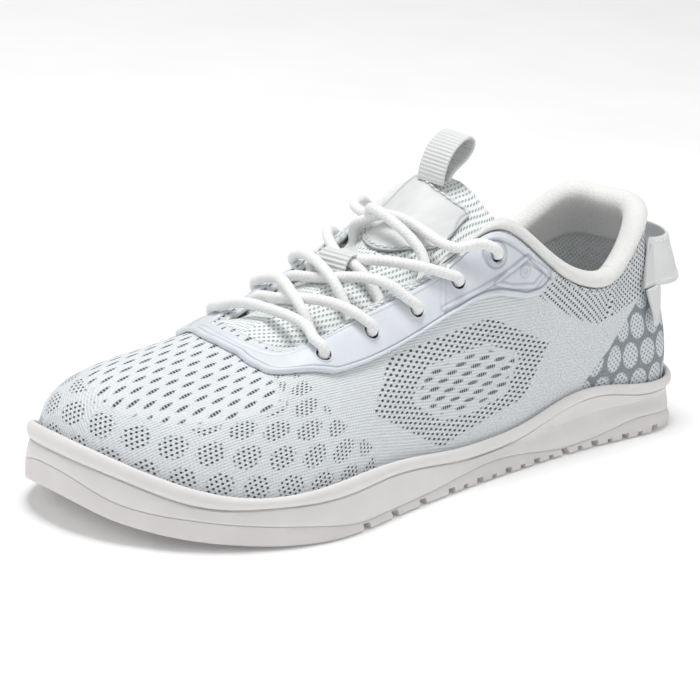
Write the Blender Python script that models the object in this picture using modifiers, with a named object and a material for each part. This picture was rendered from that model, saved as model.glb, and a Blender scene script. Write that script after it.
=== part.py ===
"""Left shoe of a knit, lace-up barefoot sports pair, standing on its sole.

The toe points to -Y, the outer side of the foot is +X, and +Z is up. The upper is a loft of
ribs: each rib starts at the sole's edge and ends at the collar or the throat. What lies on the
upper, such as the eyestay and the collar roll, is worked out from the same ribs.
"""

import math

import bmesh
import bpy
import numpy as np

# Main sizes, in metres
LENGTH = 0.285
BALL_WIDTH = 0.1045
HEEL_HEIGHT = 0.0895
INSTEP_HEIGHT = 0.094
SOLE_HEIGHT = 0.024
WALL = 0.002
GAP = 0.0003

# Sole
OUTSOLE_FLOOR = 0.0042
FOOTBED_HEIGHT = 0.0095
SOLE_SHELF = 0.007
EDGE_BEVEL = 0.0014
EDGE_FLARE = 0.0014
LIP = 0.0026
BAND_ROUND = 0.0009
BAND_GROOVE = 0.0014
SCOOP = 0.0018
LUG_PITCH = 0.0171
LUG_GROOVE = 0.003
LUG_DEPTH = 0.0022
FIRST_GROOVE = 0.022
INSOLE_THICKNESS = 0.003
INSOLE_CLEARANCE = 0.0022

# Collar, eyestay, tongue
ROLL_HEIGHT = 0.007
ROLL_WIDTH = 0.0085
LINING_THICKNESS = 0.0016
COLLAR_END = 8.6
EYESTAY_THICKNESS = 0.001
TONGUE_THICKNESS = 0.0045
PATCH_THICKNESS = 0.001
WEBBING_THICKNESS = 0.0013
KEEPER_WIDTH = 0.0135
KEEPER_ACROSS = -0.12
KEEPER_RISE = 0.0078
KEEPER_FRONT = 0.572
KEEPER_BACK = 0.522
PATCH_FRONT = 0.498
PATCH_SLANT = 0.045
PATCH_BACK = 0.398
LOOP_WIDTH = 0.0135
LOOP_FOOT = 0.408
LOOP_ACROSS = -0.22

# Laces and their holes
LACE_DIAMETER = 0.0038
HOLE_DIAMETER = 0.005
EYELET_DIAMETER = 0.0088
EYELET_CLEARANCE = 0.001
LACE_OVERLAP = 0.5
LANDING_DEPTH = 0.032
EYELET_RISE = 0.0020

# Heel pull
PULL_TOP = 0.0755
PULL_BOTTOM = 0.0585
PULL_TOP_RIB = 2.0
PULL_BOTTOM_RIB = 2.65
PULL_REACH = 0.0105
PULL_SEATED = 0.84
PULL_CLEARANCE = 0.0013
TAB_RIBS = (2.60, 2.08, 2.50)
TAB_TOP = 0.0575
TAB_TIP = 0.0435

# How finely the pieces are divided
AROUND = 76
UP = 10

# One row for each rib, from the heel round one side to the toe. Lengths are shares of LENGTH
# (along) and BALL_WIDTH (lateral, medial); rim heights add shares of HEEL_HEIGHT and
# INSTEP_HEIGHT. Lean and slope are degrees; reaches are shares of the rib's rise and span.
RIB_COLUMNS = (
    "sole_along", "sole_lateral", "sole_medial",
    "rim_along", "rim_lateral", "rim_medial", "rim_heel", "rim_instep", "medial_rise",
    "foot_lean", "foot_reach", "rim_slope", "rim_reach",
)
RIBS = (
    (0.000, 0.038, -0.038, 0.063, 0.019, -0.019, 0.922, 0.000, 0.000, 7, 0.45, 80, 0.34),
    (0.010, 0.187, 0.105, 0.070, 0.110, 0.085, 0.920, 0.000, 0.000, 7, 0.45, 80, 0.34),
    (0.039, 0.275, 0.214, 0.095, 0.187, 0.172, 0.800, 0.100, 0.020, 6, 0.44, 80, 0.34),
    (0.115, 0.310, 0.304, 0.144, 0.249, 0.249, 0.470, 0.292, 0.045, 4, 0.42, 80, 0.34),
    (0.218, 0.312, 0.311, 0.204, 0.282, 0.282, 0.250, 0.427, 0.025, 2, 0.40, 80, 0.32),
    (0.323, 0.335, 0.300, 0.281, 0.292, 0.292, 0.120, 0.625, 0.000, 0, 0.40, 78, 0.32),
    (0.428, 0.369, 0.306, 0.347, 0.278, 0.278, 0.030, 0.854, 0.000, -2, 0.40, 74, 0.30),
    (0.526, 0.413, 0.352, 0.396, 0.249, 0.258, 0.000, 0.968, 0.010, -3, 0.40, 64, 0.30),
    (0.625, 0.469, 0.421, 0.442, 0.215, 0.239, 0.000, 0.910, 0.045, -3, 0.42, 52, 0.33),
    (0.712, 0.515, 0.475, 0.509, 0.211, 0.230, 0.000, 0.824, 0.028, -2, 0.46, 43, 0.37),
    (0.793, 0.503, 0.486, 0.575, 0.211, 0.225, 0.000, 0.768, -0.010, 0, 0.52, 36, 0.42),
    (0.863, 0.440, 0.465, 0.643, 0.213, 0.215, 0.000, 0.698, -0.028, 2, 0.60, 28, 0.48),
    (0.923, 0.335, 0.408, 0.707, 0.187, 0.182, 0.000, 0.626, -0.008, 3, 0.68, 21, 0.56),
    (0.968, 0.191, 0.321, 0.733, 0.091, 0.139, 0.000, 0.622, 0.006, 4, 0.75, 16, 0.64),
    (0.995, 0.029, 0.201, 0.741, 0.024, 0.086, 0.000, 0.636, 0.008, 4, 0.80, 13, 0.70),
    (1.000, -0.091, 0.091, 0.743, -0.033, 0.033, 0.000, 0.643, 0.000, 4, 0.82, 12, 0.72),
)

# Heights of the sole's side, as shares of SOLE_HEIGHT, at shares of LENGTH from the heel
SIDE_COLUMNS = ("along", "band_top", "groove", "parting", "ground")
SIDE = (
    (0.000, 0.90, 0.70, 0.26, 0.125),
    (0.056, 0.86, 0.68, 0.29, 0.050),
    (0.112, 0.88, 0.70, 0.31, 0.000),
    (0.168, 0.97, 0.81, 0.20, 0.000),
    (0.218, 1.00, 0.82, 0.13, 0.000),
    (0.274, 0.91, 0.71, 0.13, 0.000),
    (0.337, 0.73, 0.53, 0.22, 0.000),
    (0.407, 0.65, 0.44, 0.28, 0.000),
    (0.484, 0.67, 0.47, 0.21, 0.000),
    (0.554, 0.77, 0.58, 0.14, 0.000),
    (0.625, 0.86, 0.65, 0.13, 0.000),
    (0.695, 0.88, 0.63, 0.15, 0.000),
    (0.758, 0.82, 0.61, 0.26, 0.008),
    (0.828, 0.78, 0.62, 0.36, 0.050),
    (0.881, 0.84, 0.63, 0.43, 0.108),
    (0.923, 0.97, 0.72, 0.49, 0.175),
    (0.958, 1.13, 0.88, 0.55, 0.260),
    (0.982, 1.26, 1.00, 0.67, 0.360),
    (1.000, 1.36, 1.08, 0.87, 0.490),
)

# The tongue, front to top: along in LENGTH, height of its middle in INSTEP_HEIGHT, and in
# BALL_WIDTH its middle, its edges, the fall from middle to edges and the medial side's rise
TONGUE_COLUMNS = ("along", "height", "middle", "lateral", "medial", "crown", "tilt")
TONGUE = (
    (0.786, 0.564, -0.022, 0.165, -0.205, 0.048, 0.000),
    (0.751, 0.598, -0.022, 0.205, -0.245, 0.086, 0.000),
    (0.723, 0.628, -0.024, 0.222, -0.258, 0.105, 0.000),
    (0.688, 0.655, -0.026, 0.230, -0.262, 0.130, -0.006),
    (0.646, 0.695, -0.028, 0.236, -0.266, 0.136, -0.006),
    (0.596, 0.746, -0.030, 0.236, -0.266, 0.122, 0.004),
    (0.547, 0.803, -0.033, 0.236, -0.264, 0.117, 0.012),
    (0.498, 0.874, -0.038, 0.230, -0.250, 0.122, 0.013),
    (0.456, 0.958, -0.041, 0.213, -0.220, 0.116, 0.020),
    (0.414, 1.042, -0.043, 0.178, -0.197, 0.090, 0.028),
    (0.379, 1.070, -0.044, 0.160, -0.188, 0.070, 0.025),
    (0.361, 1.072, -0.044, 0.132, -0.172, 0.055, 0.020),
)

# Lace holes, front to back. A hole is a rib number on each side and a share of the rib below
# the rim. The lace then passes over its own edge, crosses its pair over the tongue and lands
# under the other edge: all shares of LENGTH, the crossing's sideways place in the tongue's width.
HOLE_COLUMNS = (
    "lateral_rib", "medial_rib", "depth", "lateral_edge", "medial_edge",
    "cross", "cross_across", "lift", "medial_landing", "lateral_landing",
)
HOLES = (
    (10.83, 10.83, 0.19, 0.690, 0.690, 0.686, 0.00, 0.0020, 0.690, 0.690),
    (9.89, 9.95, 0.17, 0.632, 0.622, 0.648, 0.00, 0.0008, 0.652, 0.687),
    (8.86, 9.05, 0.17, 0.565, 0.568, 0.592, 0.00, 0.0008, 0.606, 0.626),
    (7.86, 8.10, 0.17, 0.503, 0.515, 0.553, -0.12, 0.0008, 0.560, 0.562),
    (6.98, 7.25, 0.11, 0.449, 0.462, 0.475, -0.34, 0.0032, 0.490, 0.502),
)

# The tongue loop's line from its front foot round to its back one: how far back and how high
LOOP_PATH = (
    (0.0, 0.0), (0.0002, 0.0036), (0.0014, 0.0084), (0.0034, 0.0126), (0.0066, 0.0160),
    (0.0100, 0.0180), (0.0128, 0.0180), (0.0143, 0.0160), (0.0136, 0.0128), (0.0098, 0.0084),
    (0.0046, 0.0042), (0.0028, 0.0010),
)

# The eyestay's lower edge, from its rear end to the toe, in the same terms
EYESTAY_COLUMNS = ("rib", "depth")
EYESTAY = (
    (5.3, 0.04),
    (5.5, 0.16),
    (5.9, 0.25),
    (6.7, 0.29),
    (7.5, 0.34),
    (8.4, 0.32),
    (9.2, 0.33),
    (9.9, 0.36),
    (10.6, 0.30),
    (11.3, 0.20),
    (12.2, 0.11),
    (13.2, 0.08),
    (15.0, 0.08),
)


def table(columns, rows):
    """The table's columns by name, each as an array."""
    return {name: np.array(values, float) for name, values in zip(columns, zip(*rows))}


ribs = table(RIB_COLUMNS, RIBS)
side = table(SIDE_COLUMNS, SIDE)
tongue = table(TONGUE_COLUMNS, TONGUE)
holes = table(HOLE_COLUMNS, HOLES)
eyestay_edge = table(EYESTAY_COLUMNS, EYESTAY)
LAST_RIB = len(RIBS) - 1


def spline(knots, values, at, closed=False):
    """A natural or, where closed, periodic cubic through values at knots, read at at."""
    knots, values, at = (np.asarray(each, float) for each in (knots, values, at))
    if closed:
        period = knots[-1] - knots[0]
        at = knots[0] + np.mod(at - knots[0], period)
    count = len(knots)
    step = np.diff(knots)
    rise = np.diff(values, axis=0) / step.reshape((-1,) + (1,) * (values.ndim - 1))
    system = np.zeros((count, count))
    target = np.zeros_like(values)
    for i in range(1, count - 1):
        system[i, i - 1 : i + 2] = step[i - 1], 2 * (step[i - 1] + step[i]), step[i]
        target[i] = 6 * (rise[i] - rise[i - 1])
    if closed:
        system[0, 0], system[0, -1] = 1, -1
        system[-1, [0, 1, -2, -1]] = 2 * step[0], step[0], step[-1], 2 * step[-1]
        target[-1] = 6 * (rise[0] - rise[-1])
    else:
        system[0, 0] = system[-1, -1] = 1
    bend = np.linalg.solve(system, target.reshape(count, -1)).reshape(values.shape)
    i = np.clip(np.searchsorted(knots, at, side="right") - 1, 0, count - 2)
    shape = at.shape + (1,) * (values.ndim - 1)
    width = step[i].reshape(shape)
    after = (at - knots[i]).reshape(shape)
    before = width - after
    cubes = (bend[i] * before**3 + bend[i + 1] * after**3) / (6 * width)
    lower = (values[i] / width - bend[i] * width / 6) * before
    upper = (values[i + 1] / width - bend[i + 1] * width / 6) * after
    return cubes + lower + upper


def round_the_foot(lateral, medial):
    """A column's values from the heel along the lateral side to the toe, and back medially."""
    return np.concatenate([lateral, medial[-2::-1]])


def unit(vectors):
    return vectors / np.linalg.norm(vectors, axis=-1, keepdims=True)


rib_foot = np.stack(
    [
        round_the_foot(ribs["sole_lateral"], -ribs["sole_medial"]) * BALL_WIDTH,
        LENGTH * (0.5 - round_the_foot(ribs["sole_along"], ribs["sole_along"])),
    ],
    axis=1,
)
rib_knots = np.concatenate([[0], np.cumsum(np.linalg.norm(np.diff(rib_foot, axis=0), axis=1))])
rib_knots = rib_knots / rib_knots[-1]


def column(name):
    """A rib column with the same values on both sides of the foot."""
    return round_the_foot(ribs[name], ribs[name])


def place_of_rib(number):
    """Where a rib stands on the way round: lateral ribs are positive, medial ones negative."""
    number = np.asarray(number, float)
    steps = np.arange(LAST_RIB + 1)
    lateral = np.interp(np.abs(number), steps, rib_knots[: LAST_RIB + 1])
    medial = np.interp(np.abs(number), steps, rib_knots[: LAST_RIB - 1 : -1])
    return np.where(number >= 0, lateral, medial)


def outline(around, inset=0.0):
    """Points of the sole's outline, moved in by inset."""
    point = spline(rib_knots, rib_foot, around, closed=True)
    ahead = spline(rib_knots, rib_foot, np.asarray(around) + 1e-4, closed=True)
    behind = spline(rib_knots, rib_foot, np.asarray(around) - 1e-4, closed=True)
    forward = unit(ahead - behind)
    inward = np.stack([forward[..., 1], -forward[..., 0]], axis=-1)
    return point + inward * np.asarray(inset, float)[..., None]


def along_of(y):
    return np.clip(0.5 - y / LENGTH, 0, 1)


def side_height(name, along):
    return SOLE_HEIGHT * np.maximum(spline(side["along"], side[name], along), 0)


def footbed(along):
    return side_height("ground", along) + FOOTBED_HEIGHT


def foot_inset(around):
    """How far in from the sole's edge the upper starts, so that where it leans out it clears the lip."""
    lean = np.maximum(spline(rib_knots, column("foot_lean"), around, closed=True), 0)
    return LIP + 2 * GAP + 0.35 * SOLE_HEIGHT * np.tan(np.radians(lean))


rib_rim = np.stack(
    [
        round_the_foot(ribs["rim_lateral"], -ribs["rim_medial"]) * BALL_WIDTH,
        LENGTH * (0.5 - column("rim_along")),
        HEEL_HEIGHT * column("rim_heel")
        + INSTEP_HEIGHT * (column("rim_instep") + round_the_foot(0 * ribs["medial_rise"], ribs["medial_rise"])),
    ],
    axis=1,
)


def upper_point(around, up):
    """The upper's outer surface: around runs round the foot, up from the sole to the rim."""
    around, up = np.broadcast_arrays(np.asarray(around, float), np.asarray(up, float))
    base = outline(around, foot_inset(around))
    foot = np.concatenate([base, (footbed(along_of(base[..., 1])) + GAP)[..., None]], axis=-1)
    rim = spline(rib_knots, rib_rim, around, closed=True)
    names = ("foot_lean", "foot_reach", "rim_slope", "rim_reach")
    handles = np.stack([column(name) for name in names], axis=1)
    handles = spline(rib_knots, handles, around, closed=True)
    lean, slope = np.radians(handles[..., 0]), np.radians(handles[..., 2])
    outward = unit(outline(around, np.zeros(around.shape)) - base)
    rise = (rim - foot)[..., 2]
    span = np.linalg.norm(rim - foot, axis=-1)
    away = unit((foot - rim)[..., :2])
    foot_handle = np.concatenate([outward * np.tan(lean)[..., None], np.ones(rise.shape + (1,))], axis=-1)
    foot_handle = foot + foot_handle * (handles[..., 1] * rise)[..., None]
    rim_handle = np.concatenate([away * np.cos(slope)[..., None], -np.sin(slope)[..., None]], axis=-1)
    rim_handle = rim + rim_handle * (handles[..., 3] * span)[..., None]
    up = up[..., None]
    down = 1 - up
    ends = foot * down**3 + rim * up**3
    return ends + 3 * foot_handle * down**2 * up + 3 * rim_handle * down * up**2


def upper_normal(around, up):
    """The outward normal of the upper's outer surface."""
    up = np.clip(up, 0.001, 0.999)
    along = upper_point(np.asarray(around) + 1e-4, up) - upper_point(np.asarray(around) - 1e-4, up)
    climb = upper_point(around, up + 1e-3) - upper_point(around, up - 1e-3)
    return unit(np.cross(climb, along))


def upper_at(around, up, off=0.0):
    """A point off the upper's outer surface, outwards where off is positive."""
    return upper_point(around, up) + upper_normal(around, up) * np.asarray(off, float)[..., None]


def tongue_point(share, across):
    """The tongue's top surface: share runs from its front to its top end, across from -1 to 1."""
    share, across = np.broadcast_arrays(np.asarray(share, float), np.asarray(across, float))
    rows = np.stack([tongue[name] for name in TONGUE_COLUMNS], axis=1)
    knots = np.linspace(0, 1, len(rows))
    along, height, *wide = np.moveaxis(spline(knots, rows, share), -1, 0)
    middle, lateral, medial, crown, tilt = (BALL_WIDTH * each for each in wide)
    reach = np.where(across > 0, lateral - middle, middle - medial)
    fall = crown * np.sin(across * math.pi / 2) ** 2 + tilt * across
    return np.stack([middle + across * reach, LENGTH * (0.5 - along), height * INSTEP_HEIGHT - fall], axis=-1)


def tongue_at(share, across, off):
    """A point off the tongue's top surface, along its normal."""
    share, across = np.broadcast_arrays(np.asarray(share, float), np.asarray(across, float))
    ahead = tongue_point(share + 0.01, across) - tongue_point(share - 0.01, across)
    aside = tongue_point(share, across + 0.02) - tongue_point(share, across - 0.02)
    return tongue_point(share, across) + unit(np.cross(aside, ahead)) * np.asarray(off, float)[..., None]


def tongue_share(along):
    """The tongue's own share at a share of the shoe's length."""
    knots = np.linspace(0, 1, len(TONGUE))
    return np.interp(along, tongue["along"][::-1], knots[::-1])


def new_object(name, mesh_maker, collection):
    mesh = bpy.data.meshes.new(name)
    bm = bmesh.new()
    mesh_maker(bm)
    bm.to_mesh(mesh)
    bm.free()
    obj = bpy.data.objects.new(name, mesh)
    collection.objects.link(obj)
    return obj


def lay_grid(bm, points, wrap=False):
    """Quads over a grid of points, rows by columns. wrap joins the last column to the first."""
    verts = [[bm.verts.new(point) for point in row] for row in points]
    columns = len(verts[0])
    for lower, upper in zip(verts, verts[1:]):
        for i in range(columns if wrap else columns - 1):
            j = (i + 1) % columns
            bm.faces.new((lower[i], lower[j], upper[j], upper[i]))
    return verts


def stitch(bm, ring):
    """Closes a ring of the sole by joining each lateral point to its medial partner."""
    count = len(ring)
    for i in range(count // 2):
        face = [ring[i], ring[i + 1], ring[count - i - 1], ring[(count - i) % count]]
        bm.faces.new(list(dict.fromkeys(face)))


def ring_solid(name, rings, collection):
    """A closed solid from rings that run round the foot, stitched across at both ends."""

    def make(bm):
        verts = lay_grid(bm, rings, wrap=True)
        stitch(bm, verts[0])
        stitch(bm, verts[-1])
        bmesh.ops.recalc_face_normals(bm, faces=bm.faces)

    return new_object(name, make, collection)


def swept_solid(name, sections, collection, closed=False):
    """A closed solid from like sections along a path, capped unless the path closes."""

    def make(bm):
        verts = lay_grid(bm, sections, wrap=True)
        if closed:
            first, last = verts[0], verts[-1]
            for i in range(len(first)):
                j = (i + 1) % len(first)
                bm.faces.new((last[i], last[j], first[j], first[i]))
        else:
            bm.faces.new(verts[0])
            bm.faces.new(verts[-1])
        bmesh.ops.recalc_face_normals(bm, faces=bm.faces)

    return new_object(name, make, collection)


def sheet_solid(name, points, thickness, collection, wrap=False):
    """An open surface given a wall below it, against its normals."""

    def make(bm):
        lay_grid(bm, points, wrap=wrap)

    obj = new_object(name, make, collection)
    wall = obj.modifiers.new("wall", "SOLIDIFY")
    wall.thickness = thickness
    wall.offset = -1
    return obj


def paint(obj, colour, roughness, metallic=0.0):
    material = bpy.data.materials.new(obj.name)
    material.use_nodes = True
    shader = material.node_tree.nodes["Principled BSDF"]
    shader.inputs["Base Color"].default_value = (*colour, 1)
    shader.inputs["Roughness"].default_value = roughness
    shader.inputs["Metallic"].default_value = metallic
    obj.data.materials.append(material)
    obj.data.shade_smooth()
    obj.data.set_sharp_from_angle(angle=math.radians(40))
    return obj


def cut(obj, cutter):
    cutter.hide_render = True
    cutter.display_type = "WIRE"
    boolean = obj.modifiers.new(cutter.name, "BOOLEAN")
    boolean.operation = "DIFFERENCE"
    boolean.object = cutter
    return boolean


def ring(around, inset, heights):
    points = outline(around, np.full(around.shape, inset) if np.isscalar(inset) else inset)
    return np.concatenate([points, heights[:, None]], axis=1)


def build_outsole(collection, cutters):
    around = np.arange(AROUND) / AROUND
    along = along_of(outline(around)[:, 1])
    ground = side_height("ground", along)
    parting = np.maximum(side_height("parting", along), ground + 1.5 * EDGE_BEVEL)
    flare = EDGE_FLARE * np.clip((0.86 - along) / 0.12, 0, 1)
    rings = [
        ring(around, 2.2 * EDGE_BEVEL - flare, ground),
        ring(around, 0.7 * EDGE_BEVEL - flare, ground),
        ring(around, EDGE_BEVEL / 4 - flare, ground + 0.7 * EDGE_BEVEL),
        ring(around, GAP, parting),
        ring(around, SOLE_SHELF, ground + OUTSOLE_FLOOR),
    ]
    outsole = ring_solid("outsole", rings, collection)
    cut(outsole, groove_cutter("transverse_grooves", transverse_grooves(), cutters))
    cut(outsole, groove_cutter("long_groove", long_groove(), cutters))
    return paint(outsole, (0.80, 0.79, 0.78), 0.6)


def groove_cutter(name, boxes, cutters):
    def make(bm):
        for centre, size in boxes:
            cube = bmesh.ops.create_cube(bm, size=1)
            bmesh.ops.scale(bm, vec=size, verts=cube["verts"])
            bmesh.ops.translate(bm, vec=centre, verts=cube["verts"])

    return new_object(name, make, cutters)


def transverse_grooves():
    """Grooves from side to side, which leave the notches along the sole's lower edge."""
    boxes = []
    count = int((0.93 * LENGTH - FIRST_GROOVE) / LUG_PITCH) + 1
    for i in range(count):
        distance = FIRST_GROOVE + i * LUG_PITCH
        top = float(side_height("ground", np.array([distance / LENGTH]))[0]) + LUG_DEPTH
        boxes.append(
            ((0, LENGTH / 2 - distance, top - LUG_DEPTH), (2 * BALL_WIDTH, LUG_GROOVE, 2 * LUG_DEPTH))
        )
    return boxes


def long_groove():
    """One groove along the middle, over the flat part of the tread."""
    start, end = FIRST_GROOVE, 0.76 * LENGTH
    return [((0, LENGTH / 2 - (start + end) / 2, 0), (LUG_GROOVE, end - start, 2 * LUG_DEPTH))]


def build_midsole(collection):
    around = np.arange(AROUND) / AROUND
    along = along_of(outline(around)[:, 1])
    ground = side_height("ground", along)
    parting = np.maximum(side_height("parting", along), ground + 1.5 * EDGE_BEVEL) + 2 * GAP
    groove = side_height("groove", along)
    top = side_height("band_top", along)
    wall = groove - parting
    band = top - groove
    scoop = SCOOP * np.clip((0.36 - along) / 0.1, 0, 1)
    rings = [
        ring(around, SOLE_SHELF, ground + OUTSOLE_FLOOR + 4 * GAP),
        ring(around, GAP, parting),
        ring(around, GAP, parting + 0.25 * wall),
        ring(around, BAND_GROOVE / 2 + scoop, parting + 0.62 * wall),
        ring(around, BAND_GROOVE, groove),
        ring(around, 0.0, groove + 0.25 * band),
        ring(around, 0.0, top - BAND_ROUND),
        ring(around, BAND_ROUND, top),
        ring(around, LIP - BAND_ROUND, top),
        ring(around, LIP, top - BAND_ROUND),
        ring(around, LIP, footbed(along_of(outline(around, np.full(around.shape, LIP))[:, 1]))),
    ]
    return paint(ring_solid("midsole", rings, collection), (0.86, 0.85, 0.84), 0.55)


def build_insole(collection):
    around = np.arange(0, AROUND, 2) / AROUND
    inset = LIP + WALL + INSOLE_CLEARANCE
    along = along_of(outline(around, np.full(around.shape, inset))[:, 1])
    base = footbed(along) + 2 * GAP
    rings = [
        ring(around, inset, base),
        ring(around, inset, base + 0.7 * INSOLE_THICKNESS),
        ring(around, inset + 0.4 * INSOLE_THICKNESS, base + INSOLE_THICKNESS),
    ]
    return paint(ring_solid("insole", rings, collection), (0.70, 0.71, 0.72), 0.9)


def hole_place(side_sign, row):
    """(around, up) of a lace hole on the lateral (1) or medial (-1) side."""
    number = holes["lateral_rib" if side_sign > 0 else "medial_rib"][row]
    return float(place_of_rib(side_sign * number)), 1 - holes["depth"][row]


def hole_cutter(cutters):
    """Pins through the wall and the eyestay at every lace hole."""

    def make(bm):
        for side_sign in (1, -1):
            for row in range(len(HOLES)):
                around, up = hole_place(side_sign, row)
                add_pin(bm, around, up, HOLE_DIAMETER / 2, 4 * WALL)

    return new_object("lace_holes", make, cutters)


def frame_on_upper(around, up):
    """A point of the upper with its normal, the direction down the rib and the third axis."""
    point = upper_point(around, up)
    normal = upper_normal(around, up)
    down = unit(upper_point(around, up - 0.01) - point)
    down = unit(down - normal * np.dot(down, normal))
    return point, normal, down, np.cross(normal, down)


def add_pin(bm, around, up, radius, half_length):
    point, normal, down, sideways = frame_on_upper(around, up)
    loops = []
    for level in (-half_length, half_length):
        turn = np.linspace(0, 2 * math.pi, 12, endpoint=False)
        circle = np.cos(turn)[:, None] * down + np.sin(turn)[:, None] * sideways
        loops.append(point + normal * level + circle * radius)
    verts = lay_grid(bm, loops, wrap=True)
    bm.faces.new(verts[0][::-1])
    bm.faces.new(verts[1])


def build_upper(collection, holes_object):
    around = np.arange(AROUND) / AROUND
    up = np.linspace(1, 0, UP + 1)
    points = upper_point(around[None, :], up[:, None])
    upper = sheet_solid("upper", points, WALL, collection, wrap=True)
    cut(upper, holes_object)
    return paint(upper, (0.80, 0.83, 0.86), 0.85)


def roll_size(around):
    """The collar roll is fullest at the heel and thins out towards the throat."""
    rib_places = place_of_rib(np.array([0.0, 3.0, 7.0, COLLAR_END]))
    distance = np.minimum(around, 1 - around)
    return np.interp(distance, rib_places, (1.0, 0.85, 0.60, 0.42))


def build_collar(collection):
    first = place_of_rib(COLLAR_END)
    last = place_of_rib(-COLLAR_END)
    cells = np.arange(-AROUND // 2, AROUND // 2) / AROUND
    around = cells[(cells > last - 1) & (cells < first)]
    size = roll_size(np.mod(around, 1))
    rim = upper_point(around, 1.0)
    normal = upper_normal(around, 1.0)
    climb = unit(rim - upper_point(around, 0.97))
    inner = WALL + 1.5 * GAP

    def at_rim(out, rise):
        return rim + normal * (out * size)[:, None] + climb * (rise * size + 1.2 * GAP)[:, None]

    down = np.interp(np.abs(around), place_of_rib(np.array([0.0, 6.0, 7.5])), (1.0, 1.0, 0.3))

    def lining(steps_down, depth):
        return upper_at(around, 1 - steps_down * down / UP, np.full(around.shape, -depth))

    loops = [
        rim - normal * 0.1 * WALL + climb * 1.2 * GAP,
        at_rim(0.20 * ROLL_WIDTH, 0.35 * ROLL_HEIGHT),
        at_rim(0.10 * ROLL_WIDTH, 0.78 * ROLL_HEIGHT),
        at_rim(-0.30 * ROLL_WIDTH, ROLL_HEIGHT),
        at_rim(-0.75 * ROLL_WIDTH, 0.80 * ROLL_HEIGHT),
        at_rim(-ROLL_WIDTH, 0.20 * ROLL_HEIGHT),
        lining(1, inner + 1.4 * LINING_THICKNESS),
        lining(2, inner + LINING_THICKNESS),
        lining(2, inner),
        lining(1, inner),
        rim - normal * inner + climb * 1.2 * GAP,
    ]
    sections = np.stack(loops, axis=1)
    return paint(swept_solid("collar", sections, collection), (0.85, 0.86, 0.87), 0.9)


def build_eyestay(collection, holes_object):
    """A moulded film over the upper, from the lateral plate round the throat to the medial one."""
    cells = np.arange(AROUND) / AROUND
    first, last = place_of_rib(eyestay_edge["rib"][0]), place_of_rib(-eyestay_edge["rib"][0])
    around = cells[(cells > first) & (cells < last)]
    places = place_of_rib(eyestay_edge["rib"])
    mirrored = place_of_rib(-eyestay_edge["rib"])
    knots = np.concatenate([places, mirrored[-2::-1]])
    depth = np.concatenate([eyestay_edge["depth"], eyestay_edge["depth"][-2::-1]])
    depth = spline(knots, depth, around)
    share = np.linspace(0, 1, 5)
    up = 1 - depth[None, :] * share[:, None]
    off = np.full(up.shape, EYESTAY_THICKNESS + 1.3 * GAP)
    points = upper_at(np.broadcast_to(around, up.shape), up, off)
    eyestay = sheet_solid("eyestay", points, EYESTAY_THICKNESS, collection)
    cut(eyestay, holes_object)
    return paint(eyestay, (0.72, 0.76, 0.80), 0.4)


def build_eyelet(name, side_sign, collection):
    """The ring round the top lace hole, seated on the eyestay."""
    around, up = hole_place(side_sign, len(HOLES) - 1)
    point, normal, down, sideways = frame_on_upper(around, up)
    seat = EYESTAY_THICKNESS + EYELET_CLEARANCE
    inner, outer = HOLE_DIAMETER / 2 + GAP, EYELET_DIAMETER / 2
    rise = (outer - inner) / 2
    profile = ((inner, 0.0), (inner, 0.8), (0.6 * inner + 0.4 * outer, 1.0), (outer, 0.7), (outer, 0.0))
    sections = []
    for turn in np.linspace(0, 2 * math.pi, 20, endpoint=False):
        spoke = math.cos(turn) * down + math.sin(turn) * sideways
        sections.append([point + spoke * radius + normal * (seat + rise * level) for radius, level in profile])
    return paint(swept_solid(name, sections, collection, closed=True), (0.80, 0.82, 0.84), 0.35)


def build_tongue(collection):
    share = np.linspace(0, 1, 17)
    across = np.linspace(-1, 1, 9)
    points = tongue_point(share[:, None], across[None, :])
    tongue_object = sheet_solid("tongue", points, TONGUE_THICKNESS, collection)
    return paint(tongue_object, (0.80, 0.85, 0.87), 0.9)


def build_patch(collection):
    """The plain stitched patch over the tongue's upper half, slanted at its front."""
    across = np.linspace(-1, 1, 9)
    rows = np.linspace(0, 1, 8)
    front = tongue_share(PATCH_FRONT - PATCH_SLANT * across)
    share = front + (tongue_share(PATCH_BACK) - front) * rows[:, None]
    width = np.interp(rows, (0, 0.15, 0.5, 1), (0.50, 0.68, 0.80, 0.84))
    points = tongue_at(share, across * width[:, None], PATCH_THICKNESS + 2 * GAP)
    return paint(sheet_solid("tongue_patch", points, PATCH_THICKNESS, collection), (0.88, 0.88, 0.88), 0.6)


def build_keeper(collection):
    """The webbing bridge on the tongue's middle that a crossing of the lace runs under."""
    along = np.linspace(KEEPER_FRONT, KEEPER_BACK, 11)
    hill = np.sin(np.linspace(0, math.pi, 11)) ** 0.5
    path = tongue_at(tongue_share(along), KEEPER_ACROSS, WEBBING_THICKNESS / 2 + 2 * GAP + KEEPER_RISE * hill)
    side_axis = unit(tongue_point(tongue_share(0.55), 0.1) - tongue_point(tongue_share(0.55), -0.3))
    normals = unit(np.cross(side_axis, unit(np.gradient(path, axis=0))))
    sections = band_sections(path, normals, side_axis, KEEPER_WIDTH, WEBBING_THICKNESS)
    return paint(swept_solid("lace_keeper", sections, collection), (0.86, 0.88, 0.88), 0.8)


def band_sections(path, normals, side_axis, width, thickness):
    """Rectangles of a flat band along a path, with its width along side_axis."""
    sections = []
    for point, normal in zip(path, normals):
        half = side_axis * width / 2
        thick = normal * thickness / 2
        sections.append([point - half - thick, point + half - thick, point + half + thick, point - half + thick])
    return sections


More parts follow.
